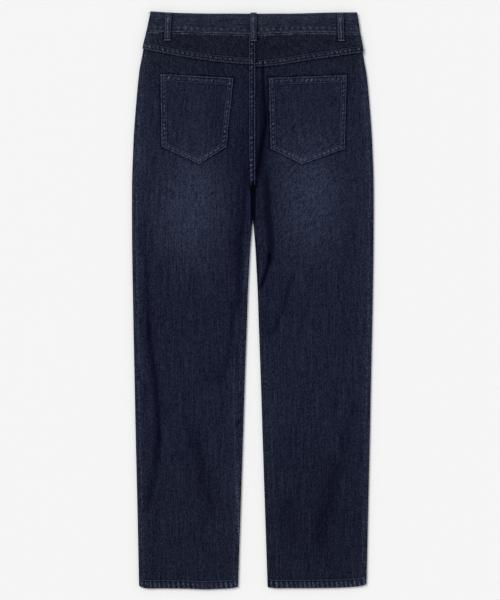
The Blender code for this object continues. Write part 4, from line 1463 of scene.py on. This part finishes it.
def hem_walls(points, cloth):
    """Wall at each point of a leg panel: thicker in the turned hem."""
    side = np.sign(points[0, 0, 0])
    inward = points[..., 1] - hem_edge(side, points[..., 0])
    turned = np.where(inward < HEM_DEPTH + 0.5, cloth.hem_wall, cloth.wall)
    return turned / MM


def make_legs(face, heights_of, panel_of, wash_of, spacing, cloth):
    """The two panels of one face of the legs, each down to its turned hem."""
    for side, name in ((-1, face + "_left"), (1, face + "_right")):
        points, rubbed = panel_of(side, cloth).grid(heights_of(spacing), spacing, cloth)
        wash = wash_of(points[..., 0], points[..., 1])
        turn = side < 0 if face == "back" else side > 0
        mesh = grid_mesh(name, points, on_cloth(points), turn=turn, wash=wash, rubbed=rubbed)
        denim_piece(name, mesh, cloth, walls=hem_walls(points, cloth))


def make_backs(cloth):
    make_legs("back", back_heights, back_panel, back_wash, cloth.spacing / MM, cloth)


def make_fronts(cloth):
    make_legs("front", front_heights, front_panel, front_wash, 1.45 * cloth.spacing / MM, cloth)


# Rows of a yoke's points as shares up it, closest under the waistband, and the space across
YOKE_ROWS = [*steps(1.0, 0.92, 0.011), *steps(0.92, 0.35, 0.034), *steps(0.35, 0.0, 0.022), 0.0]
YOKE_SPACING = 2.4


def make_yokes(cloth):
    for side, name in ((-1, "yoke_left"), (1, "yoke_right")):
        points, rubbed = yoke_panel(side, cloth).grid(YOKE_ROWS, YOKE_SPACING, cloth)
        x, y = points[..., 0], points[..., 1]
        below = curve(WAIST_SEAM, x) - y
        broken = np.clip(0.75 + 0.5 * uneven(x, 27.0, 2.2), 0.1, 1.0) * ease(np.abs(x), 6.0, 14.0)
        pale = (1.45 + 0.15 * side) * broken * bump(below, 2.4, 0.9)
        # painted shadow in a line just under the waistband's edge, and a broken pale line 2.4 mm
        # below it
        rubbed = rubbed - 1.3 * bump(below, 0.5, 1.0) + pale
        wash = back_wash(x, y)
        mesh = grid_mesh(name, points, on_cloth(points), turn=side < 0, wash=wash, rubbed=rubbed)
        denim_piece(name, mesh, cloth)


FACING_POINTS = (36, 30)  # across and down


def make_facings(cloth):
    """What shows in the mouth of each front pocket."""
    columns, count = FACING_POINTS
    for side, name in ((-1, "pocket_facing_left"), (1, "pocket_facing_right")):
        share = np.linspace(0.0, 1.0, columns)
        rows = []
        for down in np.linspace(0.0, FACING_DEPTH, count):
            y = FRONT_LINE - down
            for _ in range(3):
                edge = half_width(side, y) - cloth.wall / MM - FACING_INSET
                x = side * mix(half_width(side, FRONT_LINE) - FACING_REACH, edge, share)
                y = front_seam(x) - BAND_GAP - down
            z = front_height(x, y) + cloth.wall / MM + FACING_CLEARANCE
            rows.append(np.stack([x, y, z], axis=-1))
        points = np.array(rows)
        x, y = points[..., 0], points[..., 1]
        wash = 0.8 * front_wash(x, y)
        flat = points[..., :2] * MM
        mesh = grid_mesh(name, points, flat, turn=side < 0, wash=wash, rubbed=0 * x)
        denim_piece(name, mesh, cloth)


def pocket_height(corners, x, y, cloth):
    """How a patch pocket stands over the back at a point, and its share of rubbing and painted
    shade there.
    """
    nearest, along, from_top, along_top = inside_outline(x, y, corners)
    border = POCKET_BORDER_CLOTH - POCKET_CLOTH
    at_border = ease(nearest, POCKET_BORDER + 1.2, POCKET_BORDER - 0.6)
    at_hem = ease(from_top, POCKET_HEM_ROWS[1] + 2.2, POCKET_HEM_ROWS[1] + 0.4)
    height = POCKET_CLOTH + border * np.maximum(at_border, at_hem)
    height -= 0.4 * (1 - ease(np.minimum(nearest, from_top), -0.2, 1.3))
    sides, pocket_side_wear_and_shade = two_row_seam(nearest, along, POCKET_ROWS, 5.0, cloth)
    hem, pocket_hem_wear_and_shade = two_row_seam(from_top, along_top, POCKET_HEM_ROWS, 8.0, cloth)
    in_hem = ease(from_top, 14.0, 11.0)
    in_border = ease(nearest, 11.5, 9.0)
    height += sides * (1 - in_hem * (1 - in_border)) + hem * (1 - in_border)
    rubbed = pocket_side_wear_and_shade * (1 - in_hem * (1 - in_border)) + pocket_hem_wear_and_shade * (1 - in_border)
    low = ease(y, corners["bottom"][0][1] + 26, corners["bottom"][1][1])
    rubbed += 0.10 * low * in_border
    return height, rubbed


# Distances in from a pocket's edges of the points that its rows of sewing need, and the
# space between the points inside them
POCKET_SPACING = 3.2
POCKET_STEPS = np.array(
    [0, 0.5, 1, 1.7, 2.4, 3.3, 4.4, 5.5, 6.6, 7.7, 8.6, 9.4, 10.2, 11.2, 12.4, 13.6]
)


def make_pockets(cloth):
    for name, corners in BACK_POCKETS.items():
        left, right = np.array(corners["top"])
        low_left, tip, low_right = np.array(corners["bottom"])
        at_tip = (tip[0] - low_left[0]) / (low_right[0] - low_left[0])
        width, depth = right[0] - left[0], left[1] - tip[1]
        across = POCKET_STEPS / width
        inner = [
            *steps(across[-1], at_tip, POCKET_SPACING / width)[1:],
            *steps(at_tip, 1 - across[-1], POCKET_SPACING / width),
        ]
        shares = np.array([*across, *inner, *(1 - across[::-1])])
        down = POCKET_STEPS / depth
        between = steps(down[-1], 1 - down[-1], POCKET_SPACING / depth)[1:]
        downs = np.array([*down, *between, *(1 - down[::-1])])
        top = left + (right - left) * shares[:, None]
        bottom = np.where(
            shares[:, None] < at_tip,
            low_left + (tip - low_left) * (shares / at_tip)[:, None],
            tip + (low_right - tip) * ((shares - at_tip) / (1 - at_tip))[:, None],
        )
        flat = top[None] + (bottom - top)[None] * downs[:, None, None]
        x, y = flat[..., 0], flat[..., 1]
        height, rubbed = pocket_height(corners, x, y, cloth)
        under = back_height(x, y) + back_detail(x, y, cloth)[0] + POCKET_CLEARANCE
        points = np.stack([x, y, under + height], axis=-1)
        wash = back_wash(x, y) + 0.004
        mesh = grid_mesh(name, points, flat * MM, turn=True, wash=wash, rubbed=rubbed)
        denim_piece(name, mesh, cloth, walls=np.round(np.maximum(height, 0.7), 1), edge=0.6)


BAND_SPACING = 2.6
BAND_TURN = np.linspace(-82, 82, 11)  # degrees round the fold at each side


def band_stations(cloth):
    """Stations round the waistband: across as a share of its half width, distance out past
    that, the outer face's height, 1 at the front and 0 at the back, and the way out."""
    wall = cloth.band_wall / MM
    low, high = WAIST_LIFT, WAIST_LIFT + 2 * wall + SEAM_GAP
    radius = (high - low) / 2
    stations = []

    def run(start, end, height, at_front, way_out):
        for x in steps(start, end, BAND_SPACING):
            stations.append((x / BAND_REACH, 0.0, height(x), at_front, 0.0, way_out))

    def turn(side, rising):
        for degrees in BAND_TURN:
            angle = np.radians(degrees if rising else -degrees)
            rise = np.sin(angle)
            out = radius * np.cos(angle)
            height = low + radius + radius * rise
            stations.append((side, out, height, 0.5 - 0.5 * rise, side * np.cos(angle), rise))

    def climb(x):
        return low + (wall + SEAM_GAP) * ease(x, *BAND_STEP)

    def back(x):
        return high + (wall + SEAM_GAP) * over_fly(x)

    run(BAND_OVERLAP[0], -BAND_REACH, lambda x: low, 1.0, -1.0)
    turn(-1, True)
    run(-BAND_REACH, BAND_REACH, back, 0.0, 1.0)
    turn(1, False)
    run(BAND_REACH, BAND_OVERLAP[1] - 0.1, climb, 1.0, -1.0)
    return stations, radius


BAND_SWELL = 0.25


def band_height(share):
    """How the waistband's outer face swells and dips from its seam to its upper edge."""
    return BAND_SWELL * np.sin(np.pi * share) ** 0.5


def band_wear_and_shade(up, depth, along, cloth):
    """Puckers, rubbing and painted shade of the waistband, over the height up from its seam."""
    bumps = uneven(along + 0.3 * up, 1.28 * cloth.pucker_length / MM, 6.1)
    low, high = BAND_ROWS[1], depth - BAND_ROWS[0]
    puffed = np.exp(-(((up - 7.4) / 2.8) ** 4))
    sunk = bump(up, low, 0.9) + bump(up, high, 0.9)
    pucker = cloth.pucker / MM
    slow = uneven(along, 46.0, 1.2)
    height = pucker * (0.75 * bumps * puffed - 0.8 * sunk)
    height += pucker * 0.5 * slow * bump(up, depth / 2, depth / 3)
    height += pucker * 0.3 * bumps * np.where(up > 9, np.exp(-np.maximum(up - 9, 0) / 6.0), 0.0)
    dots = np.clip(bumps, -1, 1)
    rubbed = puffed * (0.10 + 0.80 * np.maximum(dots, 0) + 0.5 * np.minimum(dots, 0))
    # wear pales its lower edge; the darker lines by its rows, here and in the next line, are
    # painted shade
    rubbed += 1.5 * bump(up, 0.6, 0.9) - 1.3 * bump(up, 2.8, 0.9)
    rubbed += 0.4 * bump(up, depth - 0.4, 1.0) - 0.6 * bump(up, high - 0.9, 0.8)
    rubbed += 0.07 * slow - 0.14 * bump(up, 14.5, 3.2) + 0.08 * bump(up, depth - 7, 5.0)
    return height, rubbed


# Heights up the waistband of its rows of points, closest where it is sewn
BAND_UPS = np.array(
    [0, 0.02, 0.045, 0.075, 0.105, 0.14, 0.18, 0.22, 0.27, 0.34, 0.42, 0.5, 0.58, 0.66, 0.74]
    + [0.81, 0.87, 0.91, 0.945, 0.975, 1.0]
)
BAND_EDGE = 0.0006


def make_waistband(cloth):
    stations, radius = band_stations(cloth)
    share, out, z, at_front, way_x, way_z = np.array(stations).T
    edges = []
    for table in (WAIST_SEAM, WAIST_EDGE):
        y = curve(table, share * BAND_REACH) - at_front * front_dip(share * BAND_REACH)
        width = np.where(share < 0, half_width(-1, y), half_width(1, y)) - radius
        across = share * width + np.sign(share) * out
        edges.append(np.stack([across, curve(table, across) - at_front * front_dip(across)], -1))
    low, high = edges
    ups = BAND_UPS[:, None]
    flat = low[None] + (high - low)[None] * ups[..., None]
    x, y = flat[..., 0], flat[..., 1]
    gaps = np.hypot(np.diff(x[8]), np.diff(z))
    along = np.concatenate([[0.0], np.cumsum(gaps)])
    depth = np.mean(high[:, 1] - low[:, 1])
    height, rubbed = band_wear_and_shade(ups * depth, depth, along[None], cloth)
    height = height + band_height(ups) - BAND_SWELL
    points = np.stack([x + way_x * height, y, z[None] + way_z * height], axis=-1)
    places = np.stack(np.broadcast_arrays(y, along), axis=-1) * MM
    base = base_shade() + 0.048
    # paler towards the band's upper edge and darker towards its seam; the darker patch at the seam
    # round the centre loop, centred to its right, is the loop's painted shadow, and another darker
    # patch lies at the seam further right
    upward = (2 * ups - 1) * (0.012 + 0.020 * bump(share, 0.0, 0.5))
    wash = base + upward + 0.03 * ups * bump(share, 0.11, 0.09)
    wash -= (1 - ups) * (0.04 * bump(share, 0.04, 0.09) + 0.03 * bump(share, 0.63, 0.1))
    # painted shadow beside the back loops
    rubbed = rubbed + 0.9 * shadow_beside_loops(x, y) * (at_front < 0.5)
    mesh = grid_mesh("waistband", points, places, wash=wash, rubbed=rubbed, lean=0 * wash)
    stands_for(shell(mesh, cloth.band_wall, denim("denim_band"), edge=BAND_EDGE), "waistband")


def band_level(x, y):
    """Height of the waistband's outer face at the back."""
    cloth = bpy.context.scene.jeans_cloth
    wall = cloth.band_wall / MM
    seam, edge = curve(WAIST_SEAM, x), curve(WAIST_EDGE, x)
    share = np.clip((y - seam) / (edge - seam), 0, 1)
    top = WAIST_LIFT + 2 * wall + SEAM_GAP + (wall + SEAM_GAP) * over_fly(x)
    return top + band_height(share) - BAND_SWELL


def loop_stations(x_top, x_low, top, low, cloth):
    """Along a back loop: height, across, underside and wall at the solid's own stations."""
    wall = cloth.band_wall / MM
    seam = curve(WAIST_SEAM, x_low)
    heights = np.array(
        [low, low + 5.5, low + 7.5, seam + 2.5, mix(seam, top, 0.45), top - 9.0, top - 7.0, top]
    )
    across = mix(x_low, x_top, (heights - low) / (top - low))
    band = WAIST_LIFT + 2 * wall + SEAM_GAP + (wall + SEAM_GAP) * over_fly(across)
    lapped = lap_lift(cloth) if abs(x_low) < LAP_WIDTH else 0.0
    yoke = back_height(across, heights) + lapped
    underside = np.where(heights < seam + 1, yoke, band) + LOOP_CLEARANCE
    from_end = np.minimum(heights - low, top - heights)
    walls = np.where(from_end < 6.0, LOOP_END_CLOTH, LOOP_CLOTH)
    rise = LOOP_RISE * ease(from_end, 5.0, 0.4 * (top - low))
    return heights, across, underside + rise, walls


def loop_shell(name, x, y, under, walls, outward, seed):
    """A belt loop: a strip with both edges turned under and sewn, and both ends sewn down."""
    half = LOOP_WIDTH / 2
    right = np.array([0.14, 0.4, 0.6, 0.72, 0.84, 0.94, 1.0])
    across = half * np.concatenate([-right[::-1], right])
    inward = half - np.abs(across)
    crown = 0.16 * (1 - (across / half) ** 2) - 0.16 - 0.26 * bump(inward, LOOP_ROW, 0.7)
    crown -= 0.22 * (1 - ease(inward, 0.0, 0.9))
    bumps = uneven(y[:, None] + 0.4 * across[None], 5.2, seed)
    swell = 0.10 * bumps * bump(np.abs(across), half - LOOP_ROW - 1.6, 1.6)[None]
    z = (under + outward * walls)[:, None] + outward * (crown[None] + swell)
    points = np.stack([x[:, None] + across[None], np.broadcast_to(y[:, None], z.shape), z], axis=-1)
    places = np.stack(np.broadcast_arrays(across[None], y[:, None]), axis=-1) * MM
    # its folded edges are pale with wear, the left one more: painted light from the left
    edges = (0.45 - 0.25 * np.sign(across)) * bump(inward, 0.6, 0.9)
    # a pale line just left of the middle, and painted shade along the sunk rows
    ridge = 0.95 * bump(across, -0.5, 1.1) - 0.6 * bump(inward, LOOP_ROW, 0.8)
    rubbed = (edges + ridge)[None] + 0.14 * bumps * bump(np.abs(across), 0.0, 3.0)[None]
    rubbed = rubbed + 0.3 * bump(y.max() - y, 11.0, 8.0)[:, None]
    ends = np.minimum(y - y.min(), y.max() - y)
    # pale at the very ends, and painted shade in a dark band just inside each end
    rubbed = rubbed + 0.9 * bump(ends, 1.0, 0.9)[:, None] - 2.0 * bump(ends, 3.3, 1.2)[:, None]
    wash = np.full(z.shape, base_shade() + 0.035)
    marks = {"wash": wash, "rubbed": rubbed, "lean": 0 * wash}
    mesh = grid_mesh(name, points, places, turn=outward < 0, **marks)
    walls = np.repeat(np.round(walls[:, None], 1), len(across), axis=1)
    piece = shell(mesh, LOOP_CLOTH * MM, denim("denim_band"), walls=walls, edge=0.0003)
    stands_for(piece, name)
    return points


LOOP_SEWN = (3, -4)  # columns of a loop's points that its side rows follow
LOOP_TACKED = (1, -3)  # rows of its points that its bar tacks follow


def make_loops(cloth):
    """The belt loops, with their sewn edges and the bar tacks that hold their ends."""
    edge_rows, tacks, made = [], [], []
    for k, (name, (x_top, x_low, top, low)) in enumerate(BACK_LOOPS.items()):
        heights, across, under, walls = loop_stations(x_top, x_low, top, low, cloth)
        y = np.linspace(low, top, 44)
        x = np.interp(y, heights, across)
        table = list(zip(heights, under))
        sunk = mix(np.interp(y, heights, under), curve(table, y), 0.5)
        points = loop_shell(name, x, y, sunk, np.interp(y, heights, walls), 1, 1.0 + k)
        made.append((points, 1))
    for side, name in ((-1, "belt_loop_front_left"), (1, "belt_loop_front_right")):
        middle = side * FRONT_LOOP_ACROSS
        top = curve(WAIST_EDGE, middle) - front_dip(middle) - LOOP_CLEARANCE
        low = front_seam(middle) - FRONT_LOOP_BELOW_SEAM
        y = np.linspace(low, top, 36)
        walls = np.full(y.shape, LOOP_CLOTH)
        points = loop_shell(name, middle + 0 * y, y, walls + 0.16, walls, -1, 4.0 + side)
        made.append((points, -1))
    for points, outward in made:
        for column in LOOP_SEWN:
            line = points[2:-2, column].copy()
            line[:, 2] += 0.06 + 0.06 * outward
            edge_rows.append(line)
        for row in LOOP_TACKED:
            for shift in (-0.5, 0.5):
                line = points[row].copy()
                line[:, 1] += shift
                line[:, 2] += 0.10 + 0.08 * outward
                tacks.append(line)
    stitches("belt_loop_stitches", edge_rows, 11)
    turn = np.radians(78)
    stitches("bar_tacks", tacks, 12, turn, pitch=0.00055, length=0.0018, width=0.0006)


def bar(level, x, y, up):
    """A short upright line for a bar tack."""
    t = np.linspace(-0.5, 0.5, 9)
    return row_on(level, x + 0 * t, y + up * t, sunk=-0.05)


def make_seam_rows(cloth):
    """Rows of stitches of the yoke, the centre back seam and the crotch."""
    lines = []
    for side, ends in ((-1, (-201.5, 4.4)), (1, (5.6, 202.0))):
        panel = yoke_panel(side, cloth)
        x = np.linspace(*ends, 110)
        for row in FELLED_ROWS:
            lines.append(panel.row(x, yoke_edge(side, x) + row, cloth))
    yoke, back = yoke_panel(-1, cloth), back_panel(-1, cloth)
    for row in CENTRE_ROWS:
        x = LAP_WIDTH / 2 - row
        y = np.linspace(curve(WAIST_SEAM, x) - 1.5, yoke_edge(-1, x) + 0.8, 30)
        lines.append(yoke.row(x + 0 * y, y, cloth))
        y = np.linspace(yoke_edge(-1, x) - 1.5, CROTCH + 4, 110)
        narrow = 2.2 * ease(y, 300.0, CROTCH) * (row > 5)
        lines.append(back.row(x + narrow, y, cloth))
    stitches("seam_stitches", lines, 1)


def make_pocket_rows(cloth):
    """Rows of stitches and bar tacks of the patch pockets."""
    lines, tacks = [], []
    for corners in BACK_POCKETS.values():
        top_left, top_right = np.array(corners["top"])
        outline = [top_left, *np.array(corners["bottom"]), top_right]

        def level(x, y):
            under = back_height(x, y) + back_detail(x, y, cloth)[0] + POCKET_CLEARANCE
            return under + pocket_height(corners, x, y, cloth)[0]

        def sew(a, b, count):
            x, y = (a + (b - a) * np.linspace(0, 1, count)[:, None]).T
            lines.append(row_on(level, x, y))

        for inset in POCKET_ROWS:
            turns = inset_corners(outline, inset, POCKET_ROWS[0])
            for a, b in zip(turns[:-1], turns[1:]):
                sew(a, b, 60)
        run = (top_right - top_left) / np.hypot(*(top_right - top_left))
        down = np.array([run[1], -run[0]])
        for row in POCKET_HEM_ROWS:
            in_left, in_right = top_left + run * POCKET_ROWS[0], top_right - run * POCKET_ROWS[0]
            sew(in_left + down * row, in_right + down * row, 70)
        for corner, way in ((top_left, 1), (top_right, -1)):
            for k in range(2):
                tacks.append(bar(level, corner[0] + way * (2.2 + 4.6 * k), corner[1] - 5.6, 8.5))
    stitches("pocket_stitches", lines, 2)
    turn = np.radians(80)
    stitches("pocket_tacks", tacks, 3, turn, pitch=0.0006, length=0.0017, width=0.0006)


def inset_corners(outline, inset, from_top):
    """An outline's corners moved in, with its two open ends kept a little under its top."""
    lines = []
    for a, b in zip(outline[:-1], outline[1:]):
        run = (b - a) / np.hypot(*(b - a))
        inward = np.array([-run[1], run[0]])
        lines.append((a + inward * inset, run))
    corners = [lines[0][0] + lines[0][1] * from_top]
    for (p, u), (q, v) in zip(lines[:-1], lines[1:]):
        t = np.linalg.solve(np.stack([u, -v], axis=1), q - p)[0]
        corners.append(p + u * t)
    last, run = lines[-1]
    length = np.hypot(*(outline[-1] - outline[-2]))
    corners.append(last + run * (length - from_top))
    return corners


def make_band_rows(cloth):
    """Rows of stitches along both edges of the waistband, back and front."""
    lines = []
    cloth_wall = cloth.band_wall / MM
    for share_up, offset in ((0, BAND_ROWS[1]), (1, -BAND_ROWS[0])):
        x = np.linspace(-194 + 2 * share_up, 194 - share_up, 160)
        table = WAIST_EDGE if share_up else WAIST_SEAM
        lines.append(row_on(band_level, x, curve(table, x) + offset, sunk=0.25))
        for start, end in ((BAND_OVERLAP[0] - 2, -193.0), (26.0, 193.0)):
            x = np.linspace(start, end, 90)
            y = curve(table, x) - front_dip(x) + offset
            climb = (cloth_wall + SEAM_GAP) * ease(x, *BAND_STEP) if start > 20 else 0 * x
            z = WAIST_LIFT + climb + 0.1
            lines.append(np.stack([x, y, z], axis=-1))
    stitches("waistband_stitches", lines, 4)


def make_hem_rows(cloth):
    """The row of stitches round each hem."""
    lines = []
    for side in (-1, 1):
        for panel in (back_panel(side, cloth), front_panel(side, cloth)):
            x = side * np.linspace(29.5, 207.5, 110)
            lines.append(panel.row(x, hem_edge(side, x) + HEM_ROW, cloth))
    stitches("hem_stitches", lines, 5)


def make_front_rows(cloth):
    """Rows of stitches of the front: the fly, the rise, and the mouths of the pockets."""
    lines = []
    left, right = front_panel(-1, cloth), front_panel(1, cloth)
    for row in FLY_ROWS:
        x = LAP_WIDTH / 2 - row
        y = np.linspace(front_seam(x) - 3, FLY_END + 18, 50)
        lines.append(left.row(x + 0 * y, y, cloth))
        turn = np.linspace(0, np.pi / 2, 24)
        reach, drop = row - 3.0, 34.0
        x = x + reach * (1 - np.cos(turn))
        lines.append(left.row(x, FLY_END + 18 - drop * np.sin(turn), cloth))
    for inward in (1.8, 7.4):
        y = np.linspace(FLY_END - 18, CROTCH + 16, 50)
        lines.append(left.row(LAP_WIDTH / 2 - inward + 0 * y, y, cloth))
    across, down = POCKET_MOUTH
    angle = np.linspace(np.radians(4), np.radians(88), 60)
    for side, panel in ((-1, left), (1, right)):
        for row in MOUTH_ROWS:
            x = side * (POCKET_MOUTH_SIDE - across * np.sin(angle) - row * np.sin(angle))
            y = front_seam(x) - BAND_GAP - down * np.cos(angle) - row * np.cos(angle)
            lines.append(panel.row(x, np.minimum(y, front_seam(x) - 2.0), cloth))
    stitches("front_stitches", lines, 6)


def zip_bed(x, y):
    """The height that the zip lies at, on the inner side of the left front."""
    return front_height(x, y) + ZIP_BED


def make_zip(metal):
    """The closed zip under the fly: two woven tapes, and the teeth along their inner edges."""
    offsets, rises = np.array(TAPE_PROFILE).T
    top = front_seam(ZIP_MIDDLE + offsets[0]) - ZIP_BELOW_BAND
    x, y = np.meshgrid(ZIP_MIDDLE + offsets, np.linspace(top, FLY_END, 36))
    points = np.stack([x, y, zip_bed(x, y) + rises + ZIP_TAPE], axis=-1)
    mesh = grid_mesh("zip", points, points[..., :2] * MM, without=[5])
    tape = finish_of("zip_tape", tape_finish, metal)
    stands_for(shell(mesh, ZIP_TAPE * MM, tape), "zip")

    outline = np.array(TOOTH)
    count = len(outline)
    corners, faces = [], []
    for k, place in enumerate(np.arange(FLY_END + 1.2, top - 0.6, ZIP_PITCH / 2)):
        side = (-1) ** k
        first = len(corners)
        for height, share in TOOTH_RINGS:
            x, y = ZIP_MIDDLE - side * share * outline[:, 0], place - side * share * outline[:, 1]
            corners.extend(np.stack([x, y, zip_bed(x, y) + height], axis=-1).tolist())
        for ring in range(len(TOOTH_RINGS) - 1):
            for corner in range(count):
                low = first + ring * count
                beside = low + (corner + 1) % count
                low += corner
                faces.append((low, beside, beside + count, low + count))
        faces.append(tuple(range(first + count - 1, first - 1, -1)))
        faces.append(tuple(range(first + 3 * count, first + 4 * count)))
    mesh = bpy.data.meshes.new("zip_teeth")
    mesh.from_pydata((np.array(corners) * MM).tolist(), [], faces)
    mesh.materials.append(finish_of("jeans_metal", metal_finish, metal))
    piece = add_object("zip_teeth", mesh)
    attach(piece, "root")


def make_fastenings(metal):
    """Finishes of the button and the zip's slider, which keep their solids."""
    brass = finish_of("jeans_metal", metal_finish, metal)
    for name in ("button", "zip_slider"):
        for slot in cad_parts[name].material_slots:
            slot.material = brass


FLOOR_HALF = 4.0
FLOOR_LEVEL = -0.0002
SUN_WIDTH = 28  # degrees across the sky, for soft shadows
SUN_WAY = (0.62, -0.50, -1.0)
LENS = (85.0, 36.0)  # focal length and sensor width
CAMERA_OVER = (-0.0051, 0.0006)
FRAMED_LEVEL = 0.005  # the height at which the frame has its stated size


def make_stage(stage):
    mesh = bpy.data.meshes.new("floor")
    signs = [(-1, -1), (1, -1), (1, 1), (-1, 1)]
    corners = [(FLOOR_HALF * x, FLOOR_HALF * y, FLOOR_LEVEL) for x, y in signs]
    mesh.from_pydata(corners, [], [(0, 1, 2, 3)])
    mesh.materials.append(finish_of("studio_floor", floor_finish, stage))
    add_object("floor", mesh)

    sun = bpy.data.lights.new("key", "SUN")
    sun.energy = stage.key
    sun.angle = np.radians(SUN_WIDTH)
    lamp = add_object("key", sun)
    lamp.rotation_euler = Vector(SUN_WAY).to_track_quat("-Z", "Y").to_euler()

    world = bpy.data.worlds.new("studio")
    world.use_nodes = True
    background = world.node_tree.nodes["Background"]
    background.inputs["Color"].default_value = (1.0, 1.0, 1.0, 1.0)
    background.inputs["Strength"].default_value = stage.fill
    bpy.context.scene.world = world
    bpy.context.scene.view_settings.view_transform = "Standard"

    lens = bpy.data.cameras.new("camera")
    lens.lens, lens.sensor_width = LENS
    camera = add_object("camera", lens)
    away = stage.frame_height * lens.lens / lens.sensor_width
    camera.location = (*CAMERA_OVER, away + FRAMED_LEVEL)
    bpy.context.scene.camera = camera


# ---------------------------------------------------------------------------
# Operators, one for each piece or group of like pieces
# ---------------------------------------------------------------------------
class JEANS_OT_fronts(bpy.types.Operator):
    """Makes the fronts of the legs and the facings in the mouths of their pockets"""

    bl_idname = "jeans.fronts"
    bl_label = "Fronts"

    def execute(self, context):
        make_fronts(context.scene.jeans_cloth)
        make_facings(context.scene.jeans_cloth)
        return {"FINISHED"}


class JEANS_OT_backs(bpy.types.Operator):
    """Makes the backs of the legs"""

    bl_idname = "jeans.backs"
    bl_label = "Backs"

    def execute(self, context):
        make_backs(context.scene.jeans_cloth)
        return {"FINISHED"}


class JEANS_OT_yokes(bpy.types.Operator):
    """Makes the two halves of the yoke"""

    bl_idname = "jeans.yokes"
    bl_label = "Yoke"

    def execute(self, context):
        make_yokes(context.scene.jeans_cloth)
        return {"FINISHED"}


class JEANS_OT_waistband(bpy.types.Operator):
    """Makes the waistband"""

    bl_idname = "jeans.waistband"
    bl_label = "Waistband"

    def execute(self, context):
        make_waistband(context.scene.jeans_cloth)
        return {"FINISHED"}


class JEANS_OT_pockets(bpy.types.Operator):
    """Makes the patch pockets of the back"""

    bl_idname = "jeans.pockets"
    bl_label = "Back pockets"

    def execute(self, context):
        make_pockets(context.scene.jeans_cloth)
        return {"FINISHED"}


class JEANS_OT_loops(bpy.types.Operator):
    """Makes the belt loops with their stitches and bar tacks"""

    bl_idname = "jeans.loops"
    bl_label = "Belt loops"

    def execute(self, context):
        make_loops(context.scene.jeans_cloth)
        return {"FINISHED"}


class JEANS_OT_sewing(bpy.types.Operator):
    """Sews the rows of stitches of the seams, pockets, waistband and hems"""

    bl_idname = "jeans.sewing"
    bl_label = "Sewing"

    def execute(self, context):
        cloth = context.scene.jeans_cloth
        make_seam_rows(cloth)
        make_pocket_rows(cloth)
        make_band_rows(cloth)
        make_hem_rows(cloth)
        make_front_rows(cloth)
        return {"FINISHED"}


class JEANS_OT_zip(bpy.types.Operator):
    """Makes the zip's tapes and teeth"""

    bl_idname = "jeans.zip"
    bl_label = "Zip"

    def execute(self, context):
        make_zip(context.scene.jeans_metal)
        return {"FINISHED"}


class JEANS_OT_fastenings(bpy.types.Operator):
    """Finishes the button and the zip's slider"""

    bl_idname = "jeans.fastenings"
    bl_label = "Button and slider"

    def execute(self, context):
        make_fastenings(context.scene.jeans_metal)
        return {"FINISHED"}


class JEANS_OT_stage(bpy.types.Operator):
    """Makes the floor, the lights and the camera"""

    bl_idname = "jeans.stage"
    bl_label = "Stage"

    def execute(self, context):
        make_stage(context.scene.jeans_stage)
        return {"FINISHED"}


class JEANS_PT_panel(bpy.types.Panel):
    """The sizes and colours of the jeans, and the operators that make them"""

    bl_idname = "JEANS_PT_panel"
    bl_label = "Wide leg jeans"
    bl_space_type = "VIEW_3D"
    bl_region_type = "UI"
    bl_category = "Jeans"

    def draw(self, context):
        for name, group in GROUPS.items():
            box = self.layout.box()
            box.label(text=group.__doc__)
            values = getattr(context.scene, name)
            for key in group.__annotations__:
                box.prop(values, key)
        for operator in OPERATORS:
            self.layout.operator(operator.bl_idname)


GROUPS = {
    "jeans_cloth": JeansCloth,
    "jeans_denim": JeansDenim,
    "jeans_thread": JeansThread,
    "jeans_metal": JeansMetal,
    "jeans_stage": JeansStage,
}
OPERATORS = (
    JEANS_OT_fronts,
    JEANS_OT_backs,
    JEANS_OT_yokes,
    JEANS_OT_waistband,
    JEANS_OT_pockets,
    JEANS_OT_loops,
    JEANS_OT_sewing,
    JEANS_OT_zip,
    JEANS_OT_fastenings,
    JEANS_OT_stage,
)


def register():
    for kind in (*GROUPS.values(), *OPERATORS, JEANS_PT_panel):
        bpy.utils.register_class(kind)
    for name, group in GROUPS.items():
        setattr(bpy.types.Scene, name, PointerProperty(type=group))


def unregister():
    for name in GROUPS:
        delattr(bpy.types.Scene, name)
    for kind in reversed((*GROUPS.values(), *OPERATORS, JEANS_PT_panel)):
        bpy.utils.unregister_class(kind)


def main():
    register()
    for operator in OPERATORS:
        group, name = operator.bl_idname.split(".")
        getattr(getattr(bpy.ops, group), name)()


if __name__ == "__main__":
    main()
